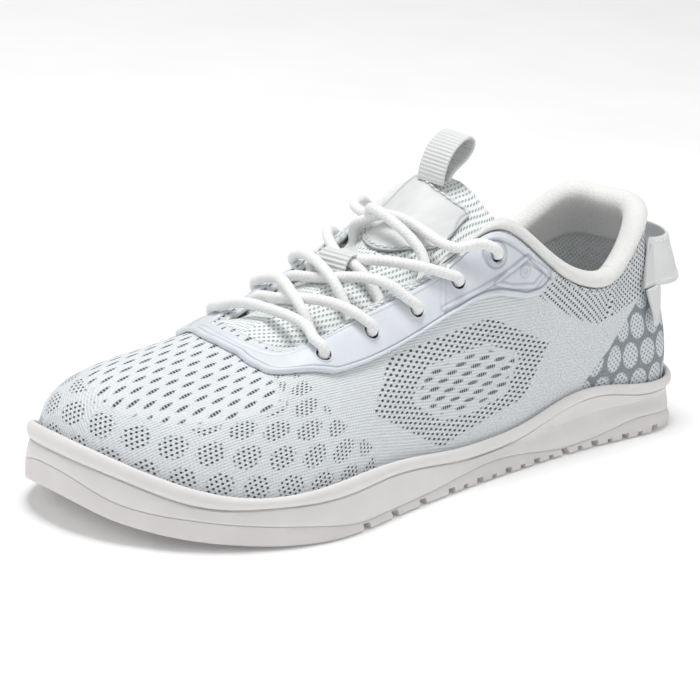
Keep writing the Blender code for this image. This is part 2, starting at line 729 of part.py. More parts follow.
def build_tongue_loop(collection):
    """The pull loop of webbing that stands at the top of the tongue and leans back."""
    foot = tongue_at(tongue_share(LOOP_FOOT), LOOP_ACROSS, PATCH_THICKNESS + 4 * GAP + WEBBING_THICKNESS)
    path = foot + np.array([(0, back, rise) for back, rise in LOOP_PATH])
    side_axis = np.array([1.0, 0, 0])
    normals = np.cross(side_axis, unit(np.gradient(path, axis=0)))
    sections = band_sections(path, normals, side_axis, LOOP_WIDTH, WEBBING_THICKNESS)
    return paint(swept_solid("tongue_loop", sections, collection), (0.88, 0.88, 0.87), 0.8)


def up_at_height(around, height):
    """The share up the rib at which the upper is this high."""
    steps = np.linspace(0, 1, 61)
    heights = upper_point(np.asarray(around)[:, None], steps)[..., 2]
    return np.array([np.interp(height, row, steps) for row in heights])


def pull_edge(rib, height, off):
    """An edge of the heel pull: seated on the heel at its ends and bowed back between them."""
    share = np.linspace(-1, 1, 19)
    around = place_of_rib(rib * share)
    bow = np.clip(1 - (share / PULL_SEATED) ** 2, 0, 1) ** 0.6
    path = upper_at(around, up_at_height(around, height), off + PULL_REACH * bow)
    path[:, 2] = height
    return path


def build_heel_pull(collection):
    """A flat band that loops out behind the heel, its ends seated on both sides of it."""
    inner, outer = PULL_CLEARANCE, PULL_CLEARANCE + WEBBING_THICKNESS
    corners = [
        pull_edge(PULL_BOTTOM_RIB, PULL_BOTTOM, inner),
        pull_edge(PULL_BOTTOM_RIB, PULL_BOTTOM, outer),
        pull_edge(PULL_TOP_RIB, PULL_TOP, outer),
        pull_edge(PULL_TOP_RIB, PULL_TOP, inner),
    ]
    sections = np.stack(corners, axis=1)
    return paint(swept_solid("heel_pull", sections, collection), (0.86, 0.87, 0.87), 0.8)


def build_pull_tab(name, side_sign, collection):
    """The tapering tab that holds the heel pull down on one side of the heel."""
    front, rear, tip = (side_sign * number for number in TAB_RIBS)
    rows = np.linspace(0, 1, 5)[:, None]
    across = np.linspace(0, 1, 3)[None, :]
    number = (front + (rear - front) * across) * (1 - rows) + (tip - 0.05 * side_sign * across) * rows
    around = place_of_rib(number if side_sign > 0 else number[:, ::-1])
    height = TAB_TOP + (TAB_TIP - TAB_TOP) * rows + 0 * across
    up = up_at_height(around.ravel(), TAB_TOP)
    steps = np.linspace(0, 1, 61)
    heights = upper_point(around.ravel()[:, None], steps)[..., 2]
    up = np.array([np.interp(each, row, steps) for each, row in zip(height.ravel(), heights)])
    points = upper_at(around, up.reshape(around.shape), WEBBING_THICKNESS + PULL_CLEARANCE)
    return paint(sheet_solid(name, points, WEBBING_THICKNESS, collection), (0.86, 0.87, 0.87), 0.8)


def lace_tube(name, points, collection):
    """A round lace through its points, as a mesh."""
    curve = bpy.data.curves.new(name, "CURVE")
    curve.dimensions = "3D"
    curve.bevel_depth = LACE_DIAMETER / 2
    curve.bevel_resolution = 2
    curve.use_fill_caps = True
    line = curve.splines.new("POLY")
    line.points.add(len(points) - 1)
    for place, point in zip(line.points, points):
        place.co = (*point, 1)
    obj = bpy.data.objects.new(name, curve)
    collection.objects.link(obj)
    bpy.context.view_layer.update()
    mesh = bpy.data.meshes.new_from_object(obj.evaluated_get(bpy.context.evaluated_depsgraph_get()))
    bpy.data.objects.remove(obj)

    def make(bm):
        bm.from_mesh(mesh)
        bmesh.ops.remove_doubles(bm, verts=bm.verts, dist=1e-6)
        bmesh.ops.recalc_face_normals(bm, faces=bm.faces)

    return new_object(name, make, collection)


def edge_place(side_sign, along):
    """Where on the way round the throat's edge reaches a share of the shoe's length."""
    steps = np.linspace(7, LAST_RIB, 321)
    rims = spline(rib_knots, rib_rim, place_of_rib(side_sign * steps), closed=True)
    return float(place_of_rib(side_sign * np.interp(along, along_of(rims[:, 1]), steps)))


def lace_start(side_sign, row):
    """The lace's way out of a hole and over the throat's edge beside it."""
    around, up = hole_place(side_sign, row)
    hole, normal, _, _ = frame_on_upper(around, up)
    edge = edge_place(side_sign, holes["lateral_edge" if side_sign > 0 else "medial_edge"][row])
    clear = EYESTAY_THICKNESS + 3 * GAP + LACE_DIAMETER / 2
    ring_rise = EYELET_RISE if row == len(HOLES) - 1 else 0.0
    steps = np.array([0.02, 0.19, 0.45, 0.75, 1.0])
    rises = clear * np.array([0.65, 1.06, 1.06, 1.05, 1.0]) + ring_rise * np.array([0.6, 1.0, 1.3, 1.2, 1.0])
    over = upper_at(around + (edge - around) * steps, up + (1 - up) * steps, rises)
    return [hole - normal * 0.5 * WALL, *over]


def lace_route(side_sign, row, more):
    """From a hole over the tongue to a place under the throat's other edge."""
    radius = LACE_DIAMETER / 2
    lift = holes["lift"][row]
    landing = holes["medial_landing" if side_sign > 0 else "lateral_landing"][row]
    cross, across = holes["cross"][row], holes["cross_across"][row]
    side = -side_sign * 0.7
    controls = lace_start(side_sign, row) + [
        tongue_at(tongue_share(cross), across, radius + lift + more),
        tongue_at(
            tongue_share(0.72 * cross + 0.28 * landing),
            0.52 * across + 0.48 * side,
            radius + lift + 0.55 * more + 0.0004,
        ),
        tongue_at(tongue_share(0.45 * cross + 0.55 * landing), side, radius + lift + 0.0006),
        upper_at(edge_place(-side_sign, landing), 1 - LANDING_DEPTH, -WALL - 4 * GAP - radius),
    ]
    return through(controls)


def bar_route():
    """The straight bar between the two front holes."""
    middle = tongue_at(tongue_share(holes["cross"][0]), 0.0, holes["lift"][0] + LACE_DIAMETER / 2)
    return through(lace_start(1, 0) + [middle] + lace_start(-1, 0)[::-1])


def through(controls):
    """A smooth line through a few points."""
    controls = np.array(controls)
    knots = np.concatenate([[0], np.cumsum(np.linalg.norm(np.diff(controls, axis=0), axis=1))])
    return spline(knots, controls, np.linspace(0, knots[-1], 18))


def build_laces(collection, cutters):
    """The lace's bar and crossings, each crossing joined where its two runs lie on each other."""
    laces = [lace_tube("lace_bar", bar_route(), collection)]
    for row in range(1, len(HOLES)):
        lower = lace_tube(f"lace_crossing_{row}", lace_route(1, row, 0.0), collection)
        upper = lace_tube(f"lace_run_{row}", lace_route(-1, row, LACE_OVERLAP * LACE_DIAMETER), cutters)
        cut(lower, upper).operation = "UNION"
        laces.append(lower)
    return [paint(lace, (0.90, 0.90, 0.89), 0.8) for lace in laces]


def centre_of_floor():
    """The middle of all that the shoe covers, from the toe's tip to the back of the heel pull."""
    around = np.linspace(0, 1, 721)[:-1]
    along = along_of(outline(around)[:, 1])
    flare = EDGE_FLARE * np.clip((0.86 - along) / 0.12, 0, 1)
    points = outline(around, np.minimum(EDGE_BEVEL / 4 - flare, 0))
    back = pull_edge(PULL_BOTTOM_RIB, PULL_BOTTOM, PULL_CLEARANCE + WEBBING_THICKNESS)[:, 1].max()
    low, high = points.min(axis=0), points.max(axis=0)
    return (low[0] + high[0]) / 2, (low[1] + max(high[1], back)) / 2


def main():
    for obj in list(bpy.data.objects):
        bpy.data.objects.remove(obj)
    shoe = bpy.data.collections.new("barefoot_shoe")
    cutters = bpy.data.collections.new("cutters")
    for collection in (shoe, cutters):
        bpy.context.scene.collection.children.link(collection)
    origin = bpy.data.objects.new("shoe_origin", None)
    shoe.objects.link(origin)
    holes_object = hole_cutter(cutters)
    build_outsole(shoe, cutters)
    build_midsole(shoe)
    build_insole(shoe)
    build_upper(shoe, holes_object)
    build_collar(shoe)
    build_eyestay(shoe, holes_object)
    build_eyelet("eyelet_lateral", 1, shoe)
    build_eyelet("eyelet_medial", -1, shoe)
    build_tongue(shoe)
    build_patch(shoe)
    build_keeper(shoe)
    build_tongue_loop(shoe)
    build_heel_pull(shoe)
    build_pull_tab("pull_tab_lateral", 1, shoe)
    build_pull_tab("pull_tab_medial", -1, shoe)
    build_laces(shoe, cutters)
    for obj in [*shoe.objects, *cutters.objects]:
        if obj is not origin:
            obj.parent = origin
    origin.location = (-SHIFT[0], -SHIFT[1], 0)
    bpy.context.view_layer.update()


SHIFT = centre_of_floor()
main()
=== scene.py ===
import math

import bmesh
import bpy
import numpy as np
from mathutils import Matrix, Vector


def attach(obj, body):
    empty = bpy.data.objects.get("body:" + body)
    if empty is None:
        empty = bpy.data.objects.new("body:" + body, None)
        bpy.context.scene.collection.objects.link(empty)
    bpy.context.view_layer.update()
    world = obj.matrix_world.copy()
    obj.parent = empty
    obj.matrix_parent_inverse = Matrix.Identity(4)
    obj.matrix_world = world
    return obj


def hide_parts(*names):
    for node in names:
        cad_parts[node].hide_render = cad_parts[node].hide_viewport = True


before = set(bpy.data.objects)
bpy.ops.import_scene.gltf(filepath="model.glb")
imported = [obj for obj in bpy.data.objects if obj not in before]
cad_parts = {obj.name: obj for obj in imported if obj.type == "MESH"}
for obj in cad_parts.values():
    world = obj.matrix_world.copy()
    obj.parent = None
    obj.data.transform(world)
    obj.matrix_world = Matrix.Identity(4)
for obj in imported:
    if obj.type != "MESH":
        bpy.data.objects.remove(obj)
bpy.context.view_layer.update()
print("frame loaded:", len(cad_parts), "nodes")

# The shoe's main sizes in metres, as its solids have them
shoe = {
    "length": 0.285,
    "ballWidth": 0.1045,
    "heelHeight": 0.0895,
    "instepHeight": 0.094,
    "soleHeight": 0.024,
    "wall": 0.002,
    "gap": 0.0003,
    "middle": (0.001784, 0.00072, 0.0),  # taken off every place, so that the shoe stands on the origin
    "footbed": 0.0095,
    "lip": 0.0026,
}

# Ribs from the heel round one side to the toe: where each starts on the sole, where it ends at the
# rim, and how it leans and bulges between
ribNames = (
    "soleAlong", "soleLateral", "soleMedial", "rimAlong", "rimLateral", "rimMedial",
    "rimHeel", "rimInstep", "medialRise", "footLean", "footReach", "rimSlope", "rimReach",
)
ribRows = (
    (0.000, 0.038, -0.038, 0.063, 0.019, -0.019, 0.922, 0.000, 0.000, 7, 0.45, 80, 0.34),
    (0.010, 0.187, 0.105, 0.070, 0.110, 0.085, 0.920, 0.000, 0.000, 7, 0.45, 80, 0.34),
    (0.039, 0.275, 0.214, 0.095, 0.187, 0.172, 0.800, 0.100, 0.020, 6, 0.44, 80, 0.34),
    (0.115, 0.310, 0.304, 0.144, 0.249, 0.249, 0.470, 0.292, 0.045, 4, 0.42, 80, 0.34),
    (0.218, 0.312, 0.311, 0.204, 0.282, 0.282, 0.250, 0.427, 0.025, 2, 0.40, 80, 0.32),
    (0.323, 0.335, 0.300, 0.281, 0.292, 0.292, 0.120, 0.625, 0.000, 0, 0.40, 78, 0.32),
    (0.428, 0.369, 0.306, 0.347, 0.278, 0.278, 0.030, 0.854, 0.000, -2, 0.40, 74, 0.30),
    (0.526, 0.413, 0.352, 0.396, 0.249, 0.258, 0.000, 0.968, 0.010, -3, 0.40, 64, 0.30),
    (0.625, 0.469, 0.421, 0.442, 0.215, 0.239, 0.000, 0.910, 0.045, -3, 0.42, 52, 0.33),
    (0.712, 0.515, 0.475, 0.509, 0.211, 0.230, 0.000, 0.824, 0.028, -2, 0.46, 43, 0.37),
    (0.793, 0.503, 0.486, 0.575, 0.211, 0.225, 0.000, 0.768, -0.010, 0, 0.52, 36, 0.42),
    (0.863, 0.440, 0.465, 0.643, 0.213, 0.215, 0.000, 0.698, -0.028, 2, 0.60, 28, 0.48),
    (0.923, 0.335, 0.408, 0.707, 0.187, 0.182, 0.000, 0.626, -0.008, 3, 0.68, 21, 0.56),
    (0.968, 0.191, 0.321, 0.733, 0.091, 0.139, 0.000, 0.622, 0.006, 4, 0.75, 16, 0.64),
    (0.995, 0.029, 0.201, 0.741, 0.024, 0.086, 0.000, 0.636, 0.008, 4, 0.80, 13, 0.70),
    (1.000, -0.091, 0.091, 0.743, -0.033, 0.033, 0.000, 0.643, 0.000, 4, 0.82, 12, 0.72),
)
# Heights of the sole's side in shares of its height, from the heel to the toe
sideNames = ("along", "bandTop", "groove", "parting", "ground")
sideRows = (
    (0.000, 0.90, 0.70, 0.26, 0.125), (0.056, 0.86, 0.68, 0.29, 0.050),
    (0.112, 0.88, 0.70, 0.31, 0.000), (0.168, 0.97, 0.81, 0.20, 0.000),
    (0.218, 1.00, 0.82, 0.13, 0.000), (0.274, 0.91, 0.71, 0.13, 0.000),
    (0.337, 0.73, 0.53, 0.22, 0.000), (0.407, 0.65, 0.44, 0.28, 0.000),
    (0.484, 0.67, 0.47, 0.21, 0.000), (0.554, 0.77, 0.58, 0.14, 0.000),
    (0.625, 0.86, 0.65, 0.13, 0.000), (0.695, 0.88, 0.63, 0.15, 0.000),
    (0.758, 0.82, 0.61, 0.26, 0.008), (0.828, 0.78, 0.62, 0.36, 0.050),
    (0.881, 0.84, 0.63, 0.43, 0.108), (0.923, 0.97, 0.72, 0.49, 0.175),
    (0.958, 1.13, 0.88, 0.55, 0.260), (0.982, 1.26, 1.00, 0.67, 0.360),
    (1.000, 1.36, 1.08, 0.87, 0.490),
)
# The tongue from its front to its top
tongueNames = ("along", "height", "middle", "lateral", "medial", "crown", "tilt")
tongueRows = (
    (0.786, 0.564, -0.022, 0.165, -0.205, 0.048, 0.000),
    (0.751, 0.598, -0.022, 0.205, -0.245, 0.086, 0.000),
    (0.723, 0.628, -0.024, 0.222, -0.258, 0.105, 0.000),
    (0.688, 0.655, -0.026, 0.230, -0.262, 0.130, -0.006),
    (0.646, 0.695, -0.028, 0.236, -0.266, 0.136, -0.006),
    (0.596, 0.746, -0.030, 0.236, -0.266, 0.122, 0.004),
    (0.547, 0.803, -0.033, 0.236, -0.264, 0.117, 0.012),
    (0.498, 0.874, -0.038, 0.230, -0.250, 0.122, 0.013),
    (0.456, 0.958, -0.041, 0.213, -0.220, 0.116, 0.020),
    (0.414, 1.042, -0.043, 0.178, -0.197, 0.090, 0.028),
    (0.379, 1.070, -0.044, 0.160, -0.188, 0.070, 0.025),
    (0.361, 1.072, -0.044, 0.132, -0.172, 0.055, 0.020),
)
# How far the tongue swells towards the inner side: all along, at its front and at its top
tongueSwell = {"all": 0.006, "front": 0.0042, "top": 0.0042}
# Lace holes from the front to the top, and where each run crosses its pair and lands
holeNames = (
    "lateralRib", "medialRib", "depth", "lateralEdge", "medialEdge",
    "cross", "crossAcross", "lift", "medialLanding", "lateralLanding",
)
holeRows = (
    (10.83, 10.83, 0.19, 0.690, 0.690, 0.686, 0.00, 0.0020, 0.690, 0.690),
    (9.89, 9.95, 0.17, 0.632, 0.622, 0.648, 0.00, 0.0008, 0.652, 0.687),
    (8.86, 9.05, 0.17, 0.565, 0.568, 0.592, 0.00, 0.0008, 0.606, 0.626),
    (7.86, 8.10, 0.17, 0.503, 0.515, 0.553, -0.12, 0.0008, 0.560, 0.562),
    (6.98, 7.25, 0.11, 0.449, 0.462, 0.475, -0.34, 0.0032, 0.490, 0.502),
)


def columnsOf(names, rows):
    return {name: np.array(values, float) for name, values in zip(names, zip(*rows))}


ribs = columnsOf(ribNames, ribRows)
side = columnsOf(sideNames, sideRows)
tongue = columnsOf(tongueNames, tongueRows)
holes = columnsOf(holeNames, holeRows)
lastRib = len(ribRows) - 1


def spline(knots, values, at, closed=False):
    # a cubic through the values at the knots, natural at its ends or running round
    knots, values, at = (np.asarray(each, float) for each in (knots, values, at))
    if closed:
        at = knots[0] + np.mod(at - knots[0], knots[-1] - knots[0])
    count = len(knots)
    step = np.diff(knots)
    rise = np.diff(values, axis=0) / step.reshape((-1,) + (1,) * (values.ndim - 1))
    system = np.zeros((count, count))
    target = np.zeros_like(values)
    for i in range(1, count - 1):
        system[i, i - 1 : i + 2] = step[i - 1], 2 * (step[i - 1] + step[i]), step[i]
        target[i] = 6 * (rise[i] - rise[i - 1])
    if closed:
        system[0, 0], system[0, -1] = 1, -1
        system[-1, [0, 1, -2, -1]] = 2 * step[0], step[0], step[-1], 2 * step[-1]
        target[-1] = 6 * (rise[0] - rise[-1])
    else:
        system[0, 0] = system[-1, -1] = 1
    bend = np.linalg.solve(system, target.reshape(count, -1)).reshape(values.shape)
    i = np.clip(np.searchsorted(knots, at, side="right") - 1, 0, count - 2)
    shape = at.shape + (1,) * (values.ndim - 1)
    width = step[i].reshape(shape)
    after = (at - knots[i]).reshape(shape)
    before = width - after
    cubes = (bend[i] * before**3 + bend[i + 1] * after**3) / (6 * width)
    return cubes + (values[i] / width - bend[i] * width / 6) * before + (
        values[i + 1] / width - bend[i + 1] * width / 6
    ) * after


def unit(vectors):
    return vectors / np.linalg.norm(vectors, axis=-1, keepdims=True)


def runAlong(points):
    # how far along their line the points lie
    return np.concatenate([[0], np.cumsum(np.linalg.norm(np.diff(points, axis=0), axis=1))])


def hump(values, middle, width):
    return np.exp(-(((values - middle) / width) ** 2))


def squared(wave, power):
    # a wave pushed outwards, which turns a circle into a rounded square
    return np.sign(wave) * np.abs(wave) ** power


def edgeRound(depth, radius):
    # a quarter circle up from an edge; 1 from the radius on
    return np.sqrt(np.clip(1 - (1 - np.clip(depth / radius, 0, 1)) ** 2, 0, 1))


def roundTheFoot(lateral, medial):
    return np.concatenate([lateral, medial[-2::-1]])


def ribColumn(name):
    return roundTheFoot(ribs[name], ribs[name])


ribFoot = np.stack([
    roundTheFoot(ribs["soleLateral"], -ribs["soleMedial"]) * shoe["ballWidth"],
    shoe["length"] * (0.5 - ribColumn("soleAlong")),
], axis=1)
ribKnots = runAlong(ribFoot) / runAlong(ribFoot)[-1]
instepRise = ribColumn("rimInstep") + roundTheFoot(0 * ribs["medialRise"], ribs["medialRise"])
ribRim = np.stack([
    roundTheFoot(ribs["rimLateral"], -ribs["rimMedial"]) * shoe["ballWidth"],
    shoe["length"] * (0.5 - ribColumn("rimAlong")),
    shoe["heelHeight"] * ribColumn("rimHeel") + shoe["instepHeight"] * instepRise,
], axis=1)
ribHandles = np.stack([ribColumn(name) for name in ("footLean", "footReach", "rimSlope", "rimReach")], axis=1)


def placeOfRib(number):
    # where a rib stands on the way round; medial ribs are negative
    number = np.asarray(number, float)
    steps = np.arange(lastRib + 1)
    lateral = np.interp(np.abs(number), steps, ribKnots[: lastRib + 1])
    medial = np.interp(np.abs(number), steps, ribKnots[: lastRib - 1 : -1])
    return np.where(number >= 0, lateral, medial)


def ribOfPlace(around):
    # the rib's number without its side
    numbers = roundTheFoot(np.arange(lastRib + 1.0), np.arange(lastRib + 1.0))
    return np.interp(np.mod(around, 1), ribKnots, numbers)


def outline(around, inset=0.0):
    point = spline(ribKnots, ribFoot, around, closed=True)
    ahead = spline(ribKnots, ribFoot, np.asarray(around) + 1e-4, closed=True)
    behind = spline(ribKnots, ribFoot, np.asarray(around) - 1e-4, closed=True)
    forward = unit(ahead - behind)
    inward = np.stack([forward[..., 1], -forward[..., 0]], axis=-1)
    return point + inward * np.asarray(inset, float)[..., None]


def alongOf(y):
    return np.clip(0.5 - y / shoe["length"], 0, 1)


def sideHeight(name, along):
    return shoe["soleHeight"] * np.maximum(spline(side["along"], side[name], along), 0)


def footbedHeight(along):
    return sideHeight("ground", along) + shoe["footbed"]


def upperPoint(around, up):
    around, up = np.broadcast_arrays(np.asarray(around, float), np.asarray(up, float))
    handles = spline(ribKnots, ribHandles, around, closed=True)
    lean, slope = np.radians(handles[..., 0]), np.radians(handles[..., 2])
    inset = shoe["lip"] + 2 * shoe["gap"] + 0.35 * shoe["soleHeight"] * np.tan(np.maximum(lean, 0))
    base = outline(around, inset)
    height = footbedHeight(alongOf(base[..., 1])) + shoe["gap"]
    foot = np.concatenate([base, height[..., None]], axis=-1)
    rim = spline(ribKnots, ribRim, around, closed=True)
    outward = unit(outline(around, np.zeros(around.shape)) - base)
    rise = (rim - foot)[..., 2]
    span = np.linalg.norm(rim - foot, axis=-1)
    away = unit((foot - rim)[..., :2])
    footHandle = np.concatenate([outward * np.tan(lean)[..., None], np.ones(rise.shape + (1,))], axis=-1)
    footHandle = foot + footHandle * (handles[..., 1] * rise)[..., None]
    rimHandle = np.concatenate([away * np.cos(slope)[..., None], -np.sin(slope)[..., None]], axis=-1)
    rimHandle = rim + rimHandle * (handles[..., 3] * span)[..., None]
    up = up[..., None]
    down = 1 - up
    return foot * down**3 + rim * up**3 + 3 * footHandle * down**2 * up + 3 * rimHandle * down * up**2


def upperNormal(around, up):
    up = np.clip(up, 0.001, 0.999)
    along = upperPoint(np.asarray(around) + 1e-4, up) - upperPoint(np.asarray(around) - 1e-4, up)
    climb = upperPoint(around, up + 1e-3) - upperPoint(around, up - 1e-3)
    return unit(np.cross(climb, along))


def upperAt(around, up, off=0.0):
    return upperPoint(around, up) + upperNormal(around, up) * np.asarray(off, float)[..., None]


def tonguePoint(share, across):
    share, across = np.broadcast_arrays(np.asarray(share, float), np.asarray(across, float))
    rows = np.stack([tongue[name] for name in tongueNames], axis=1)
    along, height, *wide = np.moveaxis(spline(np.linspace(0, 1, len(rows)), rows, share), -1, 0)
    middle, lateral, medial, crown, tilt = (shoe["ballWidth"] * each for each in wide)
    reach = np.where(across > 0, lateral - middle, middle - medial)
    fall = crown * np.sin(across * math.pi / 2) ** 2 + tilt * across
    # the swell fills the throat at the front, and lies on the collar roll at the top
    inward = np.clip(-across, 0, 1)
    front = np.sin(np.clip(1 - share / 0.55, 0, 1) * math.pi / 2)
    rear = np.clip((share - 0.52) / 0.25, 0, 1)
    topEnd = 1 - 0.75 * np.clip((share - 0.84) / 0.16, 0, 1)
    allAlong = np.clip(0.6 + 2 * share, 0, 1) * (1 - 0.5 * rear) * topEnd
    atTop = topEnd * rear * rear * (3 - 2 * rear)
    fall = fall - tongueSwell["all"] * allAlong * inward**1.5
    fall = fall - tongueSwell["front"] * front * hump(across, -0.66, 0.26)
    fall = fall - tongueSwell["top"] * atTop * np.sin(inward * math.pi / 2)
    y = shoe["length"] * (0.5 - along)
    return np.stack([middle + across * reach, y, height * shoe["instepHeight"] - fall], axis=-1)


def tongueAt(share, across, off):
    share, across = np.broadcast_arrays(np.asarray(share, float), np.asarray(across, float))
    ahead = tonguePoint(share + 0.01, across) - tonguePoint(share - 0.01, across)
    aside = tonguePoint(share, across + 0.02) - tonguePoint(share, across - 0.02)
    return tonguePoint(share, across) + unit(np.cross(aside, ahead)) * np.asarray(off, float)[..., None]


def tongueShare(along):
    return np.interp(along, tongue["along"][::-1], np.linspace(0, 1, len(tongueRows))[::-1])


def arcLengths(points, axis):
    # millimetres along each row or column of a grid of points
    steps = np.linalg.norm(np.diff(points, axis=axis), axis=-1)
    start = np.zeros_like(np.take(steps, [0], axis=axis))
    return 1000 * np.concatenate([start, np.cumsum(steps, axis=axis)], axis=axis)


def gridPiece(name, points, material, wrap=False, flip=False, punches=(), marks=None, cloth=None):
    # a grid moved onto points, rows by columns; wrap closes its columns into a ring
    marks = marks or {}
    rows, columns = points.shape[:2]
    if cloth is None:
        cloth = np.stack([arcLengths(points, 1), arcLengths(points, 0)], axis=-1)
    bm = bmesh.new()
    bmesh.ops.create_grid(bm, x_segments=columns - 1, y_segments=rows - 1, size=0.5)
    uvLayer = bm.loops.layers.uv.new("cloth")
    markLayers = {mark: bm.verts.layers.float.new(mark) for mark in marks}
    placed = points - np.array(shoe["middle"])
    for vert in bm.verts:
        i = round((vert.co.y + 0.5) * (rows - 1))
        j = round((vert.co.x + 0.5) * (columns - 1))
        vert.co = placed[i, j]
        for mark, layer in markLayers.items():
            vert[layer] = float(marks[mark][i, j])
        for loop in vert.link_loops:
            loop[uvLayer].uv = cloth[i, j]
    if wrap:
        bmesh.ops.remove_doubles(bm, verts=bm.verts, dist=1e-6)
    if flip:
        bmesh.ops.reverse_faces(bm, faces=bm.faces)
    for centre, normal, radius in punches:
        punch(bm, Vector(centre - np.array(shoe["middle"])), Vector(normal), radius)
    return finishPiece(name, bm, material)


def punch(bm, centre, normal, radius):
    # a round hole through a sheet: its faces go, and the edge that is left is drawn to the circle
    near = [face for face in bm.faces if (face.calc_center_median() - centre).length < radius]
    bmesh.ops.delete(bm, geom=near, context="FACES")
    for vert in bm.verts:
        apart = vert.co - centre
        if apart.length < 1.7 * radius and vert.is_boundary:
            flat = apart - normal * apart.dot(normal)
            vert.co = centre + flat.normalized() * radius + normal * apart.dot(normal)


def finishPiece(name, bm, material):
    mesh = bpy.data.meshes.new(name)
    bm.to_mesh(mesh)
    bm.free()
    obj = bpy.data.objects.new(name, mesh)
    bpy.context.scene.collection.objects.link(obj)
    mesh.materials.append(material)
    mesh.shade_smooth()
    return obj


def addWall(obj, thickness, innerMaterial=None):
    # the wall grows inwards from the surface that is drawn
    wall = obj.modifiers.new("wall", "SOLIDIFY")
    wall.thickness = thickness
    wall.offset = -1.0
    if innerMaterial is not None:
        obj.data.materials.append(innerMaterial)
        wall.material_offset = 1


def placePiece(obj, nodes=()):
    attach(obj, "root")
    if nodes:
        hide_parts(*nodes)


def closedSkin(name, points, material):
    obj = gridPiece(name, points, material, wrap=True)
    bm = bmesh.new()
    bm.from_mesh(obj.data)
    bmesh.ops.recalc_face_normals(bm, faces=bm.faces)
    bm.to_mesh(obj.data)
    bm.free()
    return obj


def loopPiece(name, loops, material):
    # a closed skin through rings of points; each end closes on its own middle
    loops = np.concatenate([loops, loops[:, :1]], axis=1)
    ends = [np.broadcast_to(ring[:-1].mean(axis=0), ring.shape) for ring in (loops[0], loops[-1])]
    return closedSkin(name, np.concatenate([ends[:1], loops, ends[1:]], axis=0), material)


def resample(points, count):
    # even steps along a smooth line through the points
    knots = runAlong(points)
    return spline(knots, points, np.linspace(0, knots[-1], count))


def tubeLoops(path, radius):
    # rings of sixteen points round a line, carried along it without a twist
    tangents = unit(np.gradient(path, axis=0))
    across = unit(np.cross(tangents[0], [0.3, 0.2, 1.0]))
    loops = []
    turns = np.linspace(0, 2 * math.pi, 16, endpoint=False)
    for point, tangent in zip(path, tangents):
        across = unit(across - tangent * np.dot(across, tangent))
        third = np.cross(tangent, across)
        loops.append(point + radius * (np.cos(turns)[:, None] * across + np.sin(turns)[:, None] * third))
    return np.array(loops)


def stitchRow(name, lines, material, length=0.0019, gapLength=0.0009, thick=0.00042):
    # one small capsule for each stitch, laid end to end along the lines; lines are (points, normals)
    bm = bmesh.new()
    for points, normals in lines:
        knots = runAlong(points)
        count = max(int(knots[-1] / (length + gapLength)), 1)
        for i in range(count):
            at = (i + 0.5) * knots[-1] / count
            centre, ahead, normal = (
                np.array([np.interp(value, knots, values[:, k]) for k in range(3)])
                for value, values in ((at, points), (min(at + length / 2, knots[-1]), points), (at, normals))
            )
            x = Vector(ahead - centre).normalized()
            z = Vector(normal).normalized()
            y = z.cross(x).normalized()
            turn = Matrix((x, y, x.cross(y))).transposed().to_4x4()
            size = Matrix.Diagonal((length / 2, thick, thick * 0.8, 1))
            spot = Matrix.Translation(Vector(centre - np.array(shoe["middle"])))
            bmesh.ops.create_uvsphere(bm, u_segments=6, v_segments=4, radius=1, matrix=spot @ turn @ size)
    return finishPiece(name, bm, material)


# Materials

def linear(hexColour):
    values = [int(hexColour[i : i + 2], 16) / 255 for i in (1, 3, 5)]
    return (*[v / 12.92 if v <= 0.04045 else ((v + 0.055) / 1.055) ** 2.4 for v in values], 1.0)


def addNode(tree, kind, links=(), out=0, **settings):
    node = tree.nodes.new("ShaderNode" + kind)
    for name, value in settings.items():
        setattr(node, name, value)
    for key, value in dict(links).items():
        if isinstance(value, bpy.types.NodeSocket):
            tree.links.new(value, node.inputs[key])
        else:
            node.inputs[key].default_value = value
    return node.outputs[out]


def newMaterial(name, hexColour, roughness, ior=1.5, sheen=0.0):
    material = bpy.data.materials.new(name)
    material.use_nodes = True
    tree = material.node_tree
    shader = tree.nodes["Principled BSDF"]
    shader.inputs["Base Color"].default_value = linear(hexColour)
    shader.inputs["Roughness"].default_value = roughness
    shader.inputs["IOR"].default_value = ior
    shader.inputs["Sheen Weight"].default_value = sheen
    shader.inputs["Sheen Roughness"].default_value = 0.5
    return material, tree, shader


def millimetres(tree):
    # the object's own place in millimetres
    where = addNode(tree, "TexCoord", out="Object")
    return addNode(tree, "Mapping", {"Vector": where, "Scale": (1000, 1000, 1000)})


def speckle(tree, place, size, low=0.0, high=1.0):
    # a fine even grain, from low to high; size is in millimetres
    grain = addNode(tree, "TexNoise", {"Vector": place, "Scale": 1 / size, "Detail": 2.0}, out="Fac")
    return addNode(tree, "MapRange", {
        "Value": grain, "From Min": 0.3, "From Max": 0.7, "To Min": low, "To Max": high,
    })


